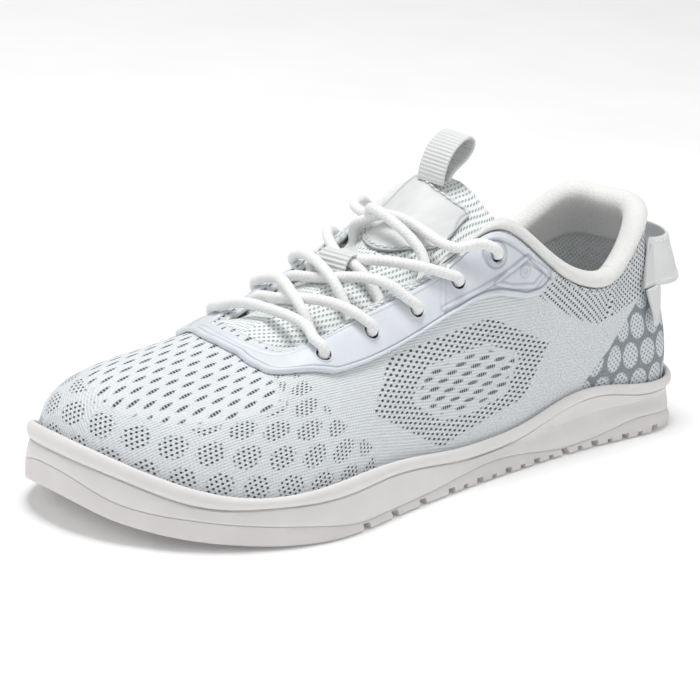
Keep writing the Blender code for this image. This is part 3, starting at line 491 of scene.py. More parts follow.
def spotField(tree, place, pitch, radius, turn=0.0, soft=0.3):
    # staggered spots, 1 in a spot and 0 between; pitch and radius are in millimetres
    turned = addNode(tree, "Mapping", {"Vector": place, "Rotation": (0, 0, math.radians(turn))})
    reaches = []
    half = (pitch[0] / 2, pitch[1] / 2, 0)
    for shift in ((0, 0, 0), half):
        moved = addNode(tree, "VectorMath", {0: turned, 1: shift}, operation="ADD")
        local = addNode(tree, "VectorMath", {0: moved, 1: half, 2: (-half[0], -half[1], 0)}, operation="WRAP")
        if turn:  # the rows are turned, and the spots aren't
            local = addNode(tree, "Mapping", {"Vector": local, "Rotation": (0, 0, -math.radians(turn))})
        scale = (1 / radius[0], 1 / radius[1], 0)
        local = addNode(tree, "VectorMath", {0: local, 1: scale}, operation="MULTIPLY")
        reaches.append(addNode(tree, "VectorMath", {0: local}, out="Value", operation="LENGTH"))
    reach = addNode(tree, "Math", {0: reaches[0], 1: reaches[1]}, operation="MINIMUM")
    return addNode(tree, "MapRange", {
        "Value": reach, "From Min": 1 - soft, "From Max": 1 + soft, "To Min": 1.0, "To Max": 0.0,
    }, interpolation_type="SMOOTHSTEP")


def ridges(tree, place, axis, pitch):
    # even ridges across one axis of a place, from 0 to 1
    part = addNode(tree, "SeparateXYZ", {0: place}, out=axis)
    phase = addNode(tree, "Math", {0: part, 1: 2 * math.pi / pitch}, operation="MULTIPLY")
    wave = addNode(tree, "Math", {0: phase}, operation="SINE")
    return addNode(tree, "MapRange", {"Value": wave, "From Min": -1.0, "From Max": 1.0})


def finishMaterial(tree, shader, base, layers, height=None, depth=0.0, strength=0.0, roughness=None):
    # each layer is a share and the colour that it lays over those before it; depth is in metres
    colour = linear(base)
    for share, hexColour in layers:
        mixed = {0: share, 6: colour, 7: linear(hexColour)}
        colour = addNode(tree, "Mix", mixed, out=2, data_type="RGBA")
    tree.links.new(colour, shader.inputs["Base Color"])
    if roughness is not None:
        tree.links.new(roughness, shader.inputs["Roughness"])
    if height is not None:
        bump = addNode(tree, "Bump", {"Strength": strength, "Distance": depth, "Height": height})
        tree.links.new(bump, shader.inputs["Normal"])


# Knitted polyester yarn, engineered on a flat-bed machine: matt, near white, with fine rib lines,
# open eyelets painted dark as painted shade inside them, and grey yarn at the heel
knit = {
    # hole and ovalHole are painted shade: the dark that falls inside the knit's openings
    "white": "#EEF1F3", "line": "#B9C0C6", "heather": "#B4BABF", "hole": "#2A3138",
    "grey": "#777E82", "ovalHole": "#6E7D90",
    "linePitch": 1.3,        # mm; real wales are finer, and this is as fine as shows
    "loopPitch": 1.1,
    "dashPitch": (8.2, 7.4), "dash": (2.6, 0.56), "combPitch": 1.2,
    "clusterPitch": (13.4, 21.0), "cluster": (5.0, 4.4),
    "spotPitch": (2.35, 2.7), "spot": (0.5, 0.4), "ovalSpot": (0.55, 0.45),
    "hexPitch": (2.95, 3.5), "hexSpot": (0.8, 0.42),
    "corePitch": (8.8, 6.2), "coreDash": (2.9, 0.62),
    "anklePitch": (2.7, 3.2), "ankleSpot": (0.6, 0.42),
    "ovalPitch": (10.6, 23.0), "oval": (4.6, 5.3),
    # how strongly each shows in the colour, and how high lines and holes stand in the relief
    "lineShare": 0.62, "holeShare": 0.95, "ovalHoleShare": 0.75, "lineHeight": -0.5, "holeHeight": -1.6,
}


def zoneMask(tree, mark):
    # 1 inside a zone; the mark holds millimetres in from the zone's edge
    depth = addNode(tree, "Attribute", attribute_name=mark, out="Fac")
    return addNode(tree, "MapRange", {"Value": depth, "From Min": -0.35, "From Max": 0.35})


def knitOpenings(tree, cloth, top, flank, lengthwise):
    # each zone has openings of its own, and a dash is a comb of short slots
    comb = ridges(tree, lengthwise, 0, knit["combPitch"])
    comb = addNode(tree, "MapRange", {"Value": comb, "From Min": 0.2, "From Max": 0.6, "To Min": 0.4})
    clusters = spotField(tree, cloth, knit["clusterPitch"], knit["cluster"], soft=0.12)
    fields = (
        ("toeDash", comb, spotField(tree, top, knit["dashPitch"], knit["dash"])),
        ("toeSpots", clusters, spotField(tree, cloth, knit["spotPitch"], knit["spot"], turn=-12)),
        ("hexagon", 1.0, spotField(tree, flank, knit["hexPitch"], knit["hexSpot"], turn=14)),
        ("core", comb, spotField(tree, flank, knit["corePitch"], knit["coreDash"], turn=13)),
        ("ankle", 1.0, spotField(tree, cloth, knit["anklePitch"], knit["ankleSpot"], turn=20)),
    )
    hollow = 0.0
    for zone, pattern, spots in fields:
        shown = zoneMask(tree, zone)
        for factor in (pattern, spots):
            shown = addNode(tree, "Math", {0: shown, 1: factor}, operation="MULTIPLY")
        hollow = addNode(tree, "Math", {0: hollow, 1: shown}, operation="MAXIMUM")
    return hollow


def heelYarn(tree, place, cloth):
    # white ovals in grey yarn, each with openings of its own that are painted darker as painted shade
    heel = zoneMask(tree, "heelGrey")
    ovals = spotField(tree, cloth, knit["ovalPitch"], knit["oval"], soft=0.08)
    ovalHoles = spotField(tree, cloth, knit["spotPitch"], knit["ovalSpot"], turn=10)
    for factor in (ovals, heel, knit["ovalHoleShare"]):
        ovalHoles = addNode(tree, "Math", {0: ovalHoles, 1: factor}, operation="MULTIPLY")
    greyYarn = addNode(tree, "Math", {0: 1.0, 1: ovals}, operation="SUBTRACT")
    for factor in (heel, speckle(tree, place, 0.5, low=0.7)):
        greyYarn = addNode(tree, "Math", {0: greyYarn, 1: factor}, operation="MULTIPLY")
    return greyYarn, ovalHoles


def knitLines(tree, lengthwise):
    # rib lines, broken up by the knit's own loops, and mottled yarn where there are no lines
    lines = ridges(tree, lengthwise, 1, knit["linePitch"])
    loops = ridges(tree, lengthwise, 0, knit["loopPitch"])
    loops = addNode(tree, "MapRange", {"Value": loops, "To Min": 0.6})
    for factor in (loops, addNode(tree, "Attribute", attribute_name="lined", out="Fac")):
        lines = addNode(tree, "Math", {0: lines, 1: factor}, operation="MULTIPLY")
    stretched = addNode(tree, "Mapping", {"Vector": lengthwise, "Scale": (0.9, 2.4, 1.0)})
    mottle = addNode(tree, "TexNoise", {"Vector": stretched, "Scale": 1.0, "Detail": 3.0}, out="Fac")
    mottle = addNode(tree, "MapRange", {"Value": mottle, "From Min": 0.42, "From Max": 0.7, "To Max": 0.8})
    plain = addNode(tree, "Attribute", attribute_name="plain", out="Fac")
    return lines, addNode(tree, "Math", {0: mottle, 1: plain}, operation="MULTIPLY")


def knitMaterial():
    material, tree, shader = newMaterial("engineeredKnit", knit["white"], 0.88, sheen=0.15)
    place = millimetres(tree)
    cloth = addNode(tree, "UVMap", uv_map="cloth")
    parts = {name: addNode(tree, "SeparateXYZ", {0: place}, out=name) for name in "XYZ"}
    wide = addNode(tree, "Math", {0: parts["X"]}, operation="ABSOLUTE")
    top = addNode(tree, "CombineXYZ", {0: parts["Y"], 1: wide})
    flank = addNode(tree, "CombineXYZ", {0: parts["Y"], 1: parts["Z"]})
    girth = addNode(tree, "Math", {0: wide, 1: parts["Z"]}, operation="SUBTRACT")
    lengthwise = addNode(tree, "CombineXYZ", {0: parts["Y"], 1: girth})
    hollow = knitOpenings(tree, cloth, top, flank, lengthwise)
    greyYarn, ovalHoles = heelYarn(tree, place, cloth)
    lines, heather = knitLines(tree, lengthwise)
    lineShade = addNode(tree, "Math", {0: lines, 1: knit["lineShare"]}, operation="MULTIPLY")
    # painted shade: the openings take the dark hole colour for the shade inside them
    holeShade = addNode(tree, "Math", {0: hollow, 1: knit["holeShare"]}, operation="MULTIPLY")
    layers = [(lineShade, knit["line"]), (heather, knit["heather"]), (greyYarn, knit["grey"]),
              (ovalHoles, knit["ovalHole"]), (holeShade, knit["hole"])]
    height = addNode(tree, "Math", {0: lines, 1: knit["lineHeight"]}, operation="MULTIPLY")
    deep = addNode(tree, "Math", {0: hollow, 1: knit["holeHeight"]}, operation="MULTIPLY")
    for part in (speckle(tree, place, 0.45, high=0.4), deep):
        height = addNode(tree, "Math", {0: height, 1: part}, operation="ADD")
    finishMaterial(tree, shader, knit["white"], layers, height, depth=0.0005, strength=0.8)
    return material


def meshMaterial(name, white, hole, pitch, spot, turn=0.0):
    # an open spacer mesh: soft yarn round small staggered openings that show the darker backing
    material, tree, shader = newMaterial(name, white, 0.9, sheen=0.1)
    cloth = addNode(tree, "UVMap", uv_map="cloth")
    openings = spotField(tree, cloth, pitch, spot, turn=turn, soft=0.45)
    grain = speckle(tree, cloth, 0.5, high=0.3)
    height = addNode(tree, "Math", {0: grain, 1: openings}, operation="SUBTRACT")
    finishMaterial(tree, shader, white, [(openings, hole)], height, depth=0.0006, strength=0.8)
    return material


def plushMaterial():
    # brushed tricot over foam, as on the collar roll: matt with a soft bright edge and a fine pile
    material, tree, shader = newMaterial("brushedTricot", "#F1F1EF", 0.92, sheen=0.3)
    pile = speckle(tree, addNode(tree, "UVMap", uv_map="cloth"), 0.8)
    finishMaterial(tree, shader, "#E4E4E2", [(pile, "#F4F4F2")], pile, depth=0.00025, strength=0.5)
    return material


def filmMaterial():
    # thermoplastic polyurethane film, hot pressed onto the knit: smooth, cool pale grey, satin
    material, tree, shader = newMaterial("pressedTpuFilm", "#DCE0E6", 0.42)
    place = millimetres(tree)
    shadedCrease = addNode(tree, "Attribute", attribute_name="shadedCrease", out="Fac")
    shadedCrease = addNode(tree, "Math", {0: shadedCrease, 1: 0.75}, operation="MULTIPLY")
    layers = [(speckle(tree, place, 9.0), "#E0E4E9"), (shadedCrease, "#8F949E")]  # pressed lines hold some shade
    finishMaterial(tree, shader, "#D8DCE3", layers, speckle(tree, place, 0.35), depth=0.00004, strength=0.35)
    return material


def coatedMaterial():
    # microfibre with a thin coating, cut flat: even and white with a faint leather-like grain
    material, tree, shader = newMaterial("coatedMicrofibre", "#F0F1F1", 0.55)
    cloth = addNode(tree, "UVMap", uv_map="cloth")
    cells = addNode(tree, "TexVoronoi", {"Vector": cloth, "Scale": 1.4}, out="Distance")
    shadedCrease = addNode(tree, "Attribute", attribute_name="shadedCrease", out="Fac")
    # painted shade: darker along the patch's stitched dip and its cut edge
    layers = [(speckle(tree, cloth, 6.0), "#E0E1E1"), (shadedCrease, "#8E9396")]
    finishMaterial(tree, shader, "#D8D9DA", layers, cells, depth=0.00006, strength=0.4)
    return material


def webbingMaterial():
    # narrow woven polyester tape: weft ribs across it and warp threads along it
    material, tree, shader = newMaterial("wovenTape", "#EFF0EF", 0.8, sheen=0.15)
    cloth = addNode(tree, "UVMap", uv_map="cloth")
    threads, picks = ridges(tree, cloth, 0, 0.7), ridges(tree, cloth, 1, 0.55)
    weave = addNode(tree, "Math", {0: threads, 1: picks}, operation="MULTIPLY")
    finishMaterial(tree, shader, "#DCDEDE", [(weave, "#F3F3F2")], weave, depth=0.00016, strength=0.6)
    return material


def laceMaterial():
    # round braid of sixteen texturised yarns: bright white with a fine slanting plait
    material, tree, shader = newMaterial("roundBraid", "#F3F3F1", 0.8, sheen=0.2)
    cloth = addNode(tree, "UVMap", uv_map="cloth")
    plait = spotField(tree, cloth, (1.5, 1.9), (0.42, 0.62), soft=0.6)
    relief = addNode(tree, "Math", {0: plait, 1: speckle(tree, cloth, 0.4, high=0.5)}, operation="ADD")
    finishMaterial(tree, shader, "#E4E6E6", [(relief, "#F8F8F7")], relief, depth=0.0002, strength=0.5)
    return material


def threadMaterial():
    # bonded sewing thread: white with a slight gloss
    material, tree, shader = newMaterial("sewingThread", "#F4F5F5", 0.6, sheen=0.1)
    twist = ridges(tree, millimetres(tree), 1, 0.45)
    finishMaterial(tree, shader, "#E2E4E5", [(twist, "#F6F7F7")], twist, depth=0.00006, strength=0.4)
    return material


def rubberMaterial(name, first, second, roughness):
    # moulded rubber or foam skin: warm pale grey, matt, with an even fine texture from the mould
    material, tree, shader = newMaterial(name, first, roughness, ior=1.52)
    place = millimetres(tree)
    tone = speckle(tree, place, 14.0)
    wear = addNode(tree, "MapRange", {"Value": tone, "To Min": roughness - 0.05, "To Max": roughness + 0.08})
    grain = speckle(tree, place, 0.5)
    finishMaterial(tree, shader, first, [(tone, second)], grain, depth=0.00005, strength=0.3, roughness=wear)
    return material


knitCloth = knitMaterial()
liningMesh = meshMaterial("spacerLining", "#FAFBFB", "#E2E5E6", (2.0, 2.2), (0.5, 0.42), turn=12)
tongueMesh = meshMaterial("openMesh", "#FAFCFB", "#B1C2C5", (2.5, 2.9), (0.42, 0.58), turn=24)
sockCloth = meshMaterial("sockLiner", "#C9CCCD", "#B1B5B7", (1.6, 1.7), (0.35, 0.35))
plush = plushMaterial()
film = filmMaterial()
coated = coatedMaterial()
webbing = webbingMaterial()
braid = laceMaterial()
thread = threadMaterial()
eyeletPlastic = rubberMaterial("mouldedEyelet", "#C6CBD2", "#CDD2D8", 0.38)
# painted shade: dark cups set in the lace holes stand for the shadow inside them
holeShadeCloth = meshMaterial("paintedHoleShade", "#4B5055", "#34383C", (1.4, 1.5), (0.3, 0.3))
midsoleFoam = rubberMaterial("mouldedFoam", "#E2E0DF", "#E7E5E4", 0.55)
outsoleRubber = rubberMaterial("mouldedRubber", "#DAD7D6", "#E0DDDC", 0.6)
print("materials made")

# Sole
sole = {
    "columns": 320,
    "shelf": 0.007,
    "floor": 0.0042,
    "edgeBevel": 0.0014,
    "flare": 0.0014,
    "bandBulge": 0.0017,
    "scoop": 0.0022,
    "lugPitch": 0.0171,
    "lugGroove": 0.0036,
    "lugDepth": 0.0027,
    "firstGroove": 0.022,
    "lastGroove": 0.93,   # of the shoe's length
    "heelLugs": 7,        # grooves that have a smaller one behind them
    "sockThick": 0.003,
}

soleAround = np.linspace(0, 1, sole["columns"] + 1)
soleAlong = alongOf(outline(soleAround)[:, 1])
ground = sideHeight("ground", soleAlong)
parting = np.maximum(sideHeight("parting", soleAlong), ground + 1.5 * sole["edgeBevel"])


def soleRing(inset, heights):
    return np.concatenate([outline(soleAround, inset), heights[:, None]], axis=1)


def soleStack(name, rings, material):
    # the first and the last ring close on the sole's middle line
    first, last = ((ring + ring[::-1]) / 2 for ring in (rings[0], rings[-1]))
    obj = closedSkin(name, np.stack([first, *rings, last]), material)
    obj.data.set_sharp_from_angle(angle=math.radians(50))
    return obj


def grooveBlock(bm, distance, height, size):
    # a cutter for the tread, its middle at a distance from the heel's end
    middle = Vector((0, shoe["length"] / 2 - distance, height)) - Vector(shoe["middle"])
    placed = Matrix.Translation(middle) @ Matrix.Diagonal((*size, 1))
    return middle, bmesh.ops.create_cube(bm, size=1, matrix=placed)["verts"]


def crossGrooves():
    width, depth, pitch = sole["lugGroove"], sole["lugDepth"], sole["lugPitch"]
    count = int((sole["lastGroove"] * shoe["length"] - sole["firstGroove"]) / pitch) + 1
    places = [sole["firstGroove"] + i * pitch for i in range(count)]
    grooves = [(place, width, depth) for place in places]
    grooves += [(place + pitch / 2, 0.7 * width, 0.8 * depth) for place in places[: sole["heelLugs"]]]
    bm = bmesh.new()
    for distance, wide, deep in grooves:
        height = float(sideHeight("ground", np.array([distance / shoe["length"]]))[0])
        # towards the toe the grooves stop short of the edge
        reach = 2.0 if distance < 0.7 * shoe["length"] else 0.62
        middle, verts = grooveBlock(bm, distance, height, (reach * shoe["ballWidth"], wide, 2 * deep))
        for vert in verts:  # the groove opens towards the ground
            if vert.co.z < middle.z:
                vert.co.y += 0.45 * (vert.co.y - middle.y)
    return finishPiece("crossGrooves", bm, outsoleRubber)


def longGroove():
    start, end = sole["firstGroove"], 0.76 * shoe["length"]
    bm = bmesh.new()
    grooveBlock(bm, (start + end) / 2, 0, (sole["lugGroove"], end - start, 2 * sole["lugDepth"]))
    return finishPiece("longGroove", bm, outsoleRubber)


def buildOutsole():
    bevel = sole["edgeBevel"]
    flare = sole["flare"] * np.clip((0.86 - soleAlong) / 0.12, 0, 1)
    rings = [
        soleRing(inset * bevel - flare, ground + rise * bevel)
        for inset, rise in ((2.6, 0), (1.6, 0.02), (0.9, 0.18), (0.45, 0.5), (0.25, 0.9))
    ]
    rings += [
        soleRing(0.15 * bevel - 0.5 * flare, ground + 0.9 * bevel + 0.45 * (parting - ground - 0.9 * bevel)),
        soleRing(0.0002, parting - 0.0003),
        soleRing(0.0005, parting),
        soleRing(sole["shelf"], ground + sole["floor"]),
    ]
    outsole = soleStack("treadedOutsole", rings, outsoleRubber)
    cutters = (crossGrooves(), longGroove())
    for cutter in cutters:
        cut = outsole.modifiers.new(cutter.name, "BOOLEAN")
        cut.operation = "DIFFERENCE"
        cut.object = cutter
    bpy.context.view_layer.update()
    shape = outsole.evaluated_get(bpy.context.evaluated_depsgraph_get())
    outsole.data = bpy.data.meshes.new_from_object(shape)
    outsole.modifiers.clear()
    for cutter in cutters:
        bpy.data.objects.remove(cutter)
    soft = outsole.modifiers.new("softEdges", "BEVEL")
    soft.width = 0.00035
    soft.segments = 2
    soft.limit_method = "ANGLE"
    soft.angle_limit = math.radians(40)
    placePiece(outsole, ["outsole"])


def buildMidsole():
    base = parting + 0.0001
    groove = sideHeight("groove", soleAlong)
    top = sideHeight("bandTop", soleAlong)
    wall = groove - base
    middle, half = (top + groove) / 2, (top - groove) / 2
    scoop = sole["scoop"] * np.clip((0.36 - soleAlong) / 0.1, 0, 1) * np.clip(soleAlong / 0.12, 0.2, 1)
    bulge = sole["bandBulge"]
    rings = [
        soleRing(sole["shelf"], ground + sole["floor"] + 4 * shoe["gap"]),
        soleRing(0.0005, base),
        soleRing(0.0002, base + 0.0003),
        soleRing(0.0002, base + 0.0009),
    ]
    rings += [
        soleRing(inset + hollow * scoop, base + rise * wall) for inset, hollow, rise in
        ((0.0003, 0.15, 0.22), (0.0005, 0.55, 0.42), (0.0008, 0.95, 0.64), (0.0010, 0.85, 0.84))
    ]
    rings += [soleRing(0.0012 + 0.30 * scoop, groove - 0.0007), soleRing(0.0032, groove - 0.0002)]
    for turn in np.radians(np.linspace(-75, 90, 9)):
        rings.append(soleRing(bulge * (1 - math.cos(turn)), middle + half * np.sin(turn)))
    lip = shoe["lip"]
    rings += [
        soleRing(lip - 0.0004, top - 0.0002),
        soleRing(lip - 0.0001, top - 0.0006),
        soleRing(lip, footbedHeight(alongOf(outline(soleAround, lip)[:, 1]))),
    ]
    placePiece(soleStack("rimmedMidsole", rings, midsoleFoam), ["midsole"])


def buildInsole():
    inset, thick = shoe["lip"] + shoe["wall"] + 0.0022, sole["sockThick"]
    base = footbedHeight(alongOf(outline(soleAround, inset)[:, 1])) + 2 * shoe["gap"]
    rings = [
        soleRing(inset + inward, base + rise * thick) for inward, rise in
        ((0.0, 0.0), (-0.0002, 0.5), (0.0002, 0.85), (0.0010, 1.0), (0.0040, 0.93), (0.0120, 0.88))
    ]
    insole = soleStack("sockLinerInsole", rings, sockCloth)
    for loop in insole.data.loops:  # its cloth is laid flat, so its weave is measured from above
        spot = insole.data.vertices[loop.vertex_index].co
        insole.data.uv_layers["cloth"].data[loop.index].uv = (spot.x * 1000, spot.y * 1000)
    placePiece(insole, ["insole"])


buildOutsole()
buildMidsole()
buildInsole()
print("sole built")

# Upper: its zones are drawn in millimetres from the heel and up from the floor
upper = {
    "columns": 440,
    "rows": 104,
    "holes": (0.0031, 0.0),  # radius, and how far out the round of a hole is measured
    "hexagon": ((119.4, 60.8), (86.0, 45.8), (97.7, 26.8), (145.5, 17.8), (185.6, 38.7), (172.6, 54.9)),
    "core": (
        (153.5, 47), (161, 39), (145, 29.5), (127, 29), (110, 32), (104.5, 43), (121.6, 49.5),
    ),
    "heelGrey": ((-10, 57), (31, 57), (67, 21), (67, -10), (-10, -10)),
    "ankle": (
        (-10, 57), (12, 58.5), (34.2, 54.4), (58, 48.6), (72, 53), (93, 64.5), (108, 80), (108, 120),
        (-10, 120),
    ),
    "toeDash": (
        (200, 0), (219, 26), (222, 35.5), (231, 35.5), (249.2, 28.5), (259, 22), (269.6, 10), (272, 0),
    ),
    "toeSpots": ((184, -5), (186, 27), (203, 40), (214, 60), (300, 60), (300, -5)),
}


def depthInside(x, y, corners):
    # millimetres in from a polygon's edge, negative outside it
    corners = np.array(corners, float)
    near = np.full(x.shape, 1e9)
    inside = np.zeros(x.shape, bool)
    for (ax, ay), (bx, by) in zip(corners, np.roll(corners, -1, axis=0)):
        wayX, wayY = bx - ax, by - ay
        share = np.clip(((x - ax) * wayX + (y - ay) * wayY) / (wayX**2 + wayY**2), 0, 1)
        near = np.minimum(near, np.hypot(x - ax - share * wayX, y - ay - share * wayY))
        if ay != by:
            hit = ax + (y - ay) * (bx - ax) / (by - ay)
            inside ^= ((ay > y) != (by > y)) & (x < hit)
    return np.where(inside, near, -near)


def ofSide(sign, kind):
    return ("lateral" if sign > 0 else "medial") + kind


def holePlace(sign, row):
    # a lace hole's place on the upper, round the foot and up the rib
    return placeOfRib(sign * holes[ofSide(sign, "Rib")][row]), 1 - holes["depth"][row]


def holeSpots(radius, off):
    # the lace holes as (centre, normal, radius), from the front to the top on each side
    places = [holePlace(sign, row) for sign in (1, -1) for row in range(len(holeRows))]
    return [(upperAt(*place, off), upperNormal(*place), radius) for place in places]


def buildUpper():
    around = np.linspace(0, 1, upper["columns"] + 1)[None, :]
    up = np.linspace(0, 1, upper["rows"] + 1)[:, None]
    points = upperPoint(around, up)
    s = 1000 * (shoe["length"] / 2 - points[..., 1])
    wide, z = 1000 * np.abs(points[..., 0]), 1000 * points[..., 2]
    sideZones = ("hexagon", "core", "heelGrey", "ankle", "toeSpots")
    marks = {name: depthInside(s, z, upper[name]) for name in sideZones}
    marks["toeDash"] = depthInside(s, wide, upper["toeDash"])
    marks["toeSpots"] = np.minimum(marks["toeSpots"], -1.5 - marks["toeDash"])
    marks["hexagon"] = np.minimum(marks["hexagon"], -2.0 - marks["core"])
    forefoot = np.clip((s - 92 - 0.9 * (60 - z)) / 18, 0, 1)
    marks["lined"] = np.where(marks["toeDash"] > 0, 0.6, 1.0) * (0.25 + 0.75 * forefoot)
    marks["plain"] = np.clip(1 - forefoot, 0, 1)
    ring = 1000 * np.linalg.norm(np.diff(outline(around[0]), axis=0), axis=1).sum()
    cloth = np.stack([np.broadcast_to(around * ring, s.shape), arcLengths(points, 0)], axis=-1)
    knitUpper = gridPiece(
        "knitUpper", points, knitCloth, wrap=True, flip=True,
        punches=holeSpots(*upper["holes"]), marks=marks, cloth=cloth,
    )
    addWall(knitUpper, shoe["wall"], innerMaterial=liningMesh)
    placePiece(knitUpper, ["upper"])


buildUpper()
print("upper built")

# Film round the throat: its two edges as (rib, share of the rib), and the lines pressed into it
filmSizes = {
    "columns": 620,
    "rows": 60,
    "thick": 0.001,
    "border": 0.0025,
    "borderRise": 0.0008,
    "lineRise": 0.0005,
    "lineWidth": 0.00055,
    "creaseWidth": 0.0004,
    "edgeRound": 0.0012,
    "topLine": 0.0022,     # in from the high edge, with its crease after it
    "topCrease": 0.0034,
    "sideCrease": 0.0011,  # out from a pressed line
    "ringCrease": 0.0049,  # round the ring eyelets
    "holes": (0.0028, 0.0014),
    "low": (
        (5.3, 0.975), (5.34, 0.963), (5.55, 0.821), (5.88, 0.750), (6.30, 0.725), (6.68, 0.708),
        (7.07, 0.683), (7.50, 0.662), (8.20, 0.671), (8.89, 0.672), (9.69, 0.658), (10.23, 0.658),
        (10.89, 0.729), (11.56, 0.792), (12.30, 0.871), (13.07, 0.915), (13.92, 0.922), (15.0, 0.921),
    ),
    "high": (
        (5.3, 0.985), (5.75, 0.99), (6.71, 0.992), (7.5, 0.998), (7.9, 0.998), (8.3, 0.985), (8.6, 0.958),
        (10.0, 0.955), (11.0, 0.955), (12.0, 0.962), (13.0, 0.974), (15.0, 0.976),
    ),
    "lines": (
        ((7.98, 0.729), (7.07, 0.733), (6.34, 0.862), (6.09, 0.950)),
        ((6.71, 0.767), (6.14, 0.938), (5.57, 0.954), (5.75, 0.842), (6.27, 0.775), (6.71, 0.767)),
        ((8.53, 0.954), (8.28, 0.846), (7.89, 0.679)),
    ),
    "lineRises": (1.0, 1.0, 0.35),
    "button": (6.07, 0.879, 0.0017),
}


def distanceToLine(points, corners):
    near = np.full(points.shape[:-1], 1e9)
    for start, end in zip(corners[:-1], corners[1:]):
        way = end - start
        share = np.clip(((points - start) @ way) / (way @ way), 0, 1)
        near = np.minimum(near, np.linalg.norm(points - start - share[..., None] * way, axis=-1))
    return near


def buildFilm():
    first, last = placeOfRib(5.32), placeOfRib(-5.32)
    around = np.linspace(first, last, filmSizes["columns"] + 1)
    number = ribOfPlace(around)
    low, high = (np.interp(number, *zip(*filmSizes[name])) for name in ("low", "high"))
    kernel = np.hanning(13) / np.hanning(13).sum()
    low, high = (np.convolve(np.pad(each, 6, mode="edge"), kernel, mode="valid") for each in (low, high))
    share = (1 - np.cos(np.linspace(0, math.pi, filmSizes["rows"] + 1))) / 2
    share = 0.55 * share + 0.45 * np.linspace(0, 1, filmSizes["rows"] + 1)
    up = low + (high - low) * share[:, None]
    flat = upperPoint(np.broadcast_to(around, up.shape), up)
    climb, run = arcLengths(flat, 0) / 1000, arcLengths(flat, 1)
    ends = np.minimum(run, run[:, -1:] - run) / 1000
    fromLow, fromHigh = climb, climb[-1] - climb
    fromEdge = np.minimum(np.minimum(fromLow, fromHigh), ends)
    fromLow = np.minimum(fromLow, ends)
    border, fine = filmSizes["border"], filmSizes["creaseWidth"]
    rise = filmSizes["thick"] * edgeRound(fromEdge, filmSizes["edgeRound"])
    rise += filmSizes["borderRise"] * np.sqrt(np.clip(1 - ((fromLow - border / 2) / (border / 2)) ** 2, 0, 1))
    # painted shade along every pressed crease; the border crease also dents the film
    shadedCrease = hump(fromLow, border + fine, fine)
    rise -= 0.00035 * shadedCrease
    topLine = np.where(number < 8.4, 1.0, 0.4)
    topCrease = topLine * hump(fromHigh, filmSizes["topCrease"], fine)
    shadedCrease += 0.8 * topCrease
    rise += 0.0004 * topLine * hump(fromHigh, filmSizes["topLine"], 0.0006) - 0.0003 * topCrease
    for sign in (1, -1):
        for corners, amount in zip(filmSizes["lines"], filmSizes["lineRises"]):
            corners = np.array([upperPoint(placeOfRib(sign * rib), at) for rib, at in corners])
            near = distanceToLine(flat, corners)
            rise += amount * filmSizes["lineRise"] * hump(near, 0, filmSizes["lineWidth"])
            shadedCrease += 0.7 * amount * hump(near, filmSizes["sideCrease"], fine)
        rib, at, radius = filmSizes["button"]
        near = np.abs(np.linalg.norm(flat - upperPoint(placeOfRib(sign * rib), at), axis=-1) - radius)
        rise += filmSizes["lineRise"] * hump(near, 0, 0.00045)
        shadedCrease += 0.5 * hump(near, 0.0008, fine)
        near = np.linalg.norm(flat - upperPoint(*holePlace(sign, -1)), axis=-1)
        shadedCrease += 0.9 * hump(near, filmSizes["ringCrease"], 0.00045)
    points = flat + upperNormal(np.broadcast_to(around, up.shape), up) * (rise + 0.0004)[..., None]
    pressed = gridPiece(
        "pressedEyestay", points, film, flip=True,
        punches=holeSpots(*filmSizes["holes"]), marks={"shadedCrease": np.clip(shadedCrease, 0, 1)},
    )
    addWall(pressed, 0.0008)
    placePiece(pressed, ["eyestay"])


# What is turned about each hole's axis, as (out, up) from its centre
holeProfiles = {
    "holeRims": (
        (0.0029, -0.0008), (0.0027, -0.0001), (0.0029, 0.00035), (0.0033, 0.0003), (0.0036, -0.0003),
        (0.0034, -0.0008), (0.0029, -0.0008),
    ),
    "ringEyelets": (
        (0.0029, -0.0012), (0.0027, 0.0002), (0.0029, 0.0013), (0.0034, 0.0017), (0.0040, 0.0013),
        (0.0044, 0.0006), (0.0046, -0.0006), (0.0044, -0.0012), (0.0029, -0.0012),
    ),
    # dark cups of painted shade that sit in every hole
    "holeShadeCups": (
        (0.0, -0.0034), (0.0027, -0.0034), (0.0028, -0.0006), (0.0030, -0.0006), (0.0030, -0.0038),
        (0.0, -0.0038),
    ),
}


def turnedRing(centre, normal, profile, material):
    down = unit(np.cross(normal, [0.0, 1.0, 0.1]))
    sideways = np.cross(normal, down)
    spokes = [math.cos(turn) * down + math.sin(turn) * sideways for turn in np.linspace(0, 2 * math.pi, 33)]
    points = [[centre + spoke * out + normal * rise for out, rise in profile] for spoke in spokes]
    return gridPiece("ring", np.array(points), material, wrap=True)


def buildHoleRims():
    # a thin lip round each punched hole but the top ones, a full ring round those, and a dark cup of painted
    # shade in each
    spots = holeSpots(*filmSizes["holes"])
    rows = len(holeRows)
    topSpots = spots[rows - 1 :: rows]
    otherSpots = spots[: rows - 1] + spots[rows:-1]
    groups = (
        ("holeRims", film, otherSpots),
        ("ringEyelets", eyeletPlastic, topSpots),
        ("holeShadeCups", holeShadeCloth, spots),
    )
    for name, material, centres in groups:
        bm = bmesh.new()
        for centre, normal, radius in centres:
            ring = turnedRing(centre, normal, holeProfiles[name], material)
            bm.from_mesh(ring.data)
            bpy.data.objects.remove(ring)
        bmesh.ops.remove_doubles(bm, verts=bm.verts, dist=1e-6)
        bmesh.ops.recalc_face_normals(bm, faces=bm.faces)
        piece = finishPiece(name, bm, material)
        if name == "ringEyelets":
            placePiece(piece, ["eyelet_lateral", "eyelet_medial"])
        else:
            placePiece(piece)


buildFilm()
buildHoleRims()
print("film pressed on")


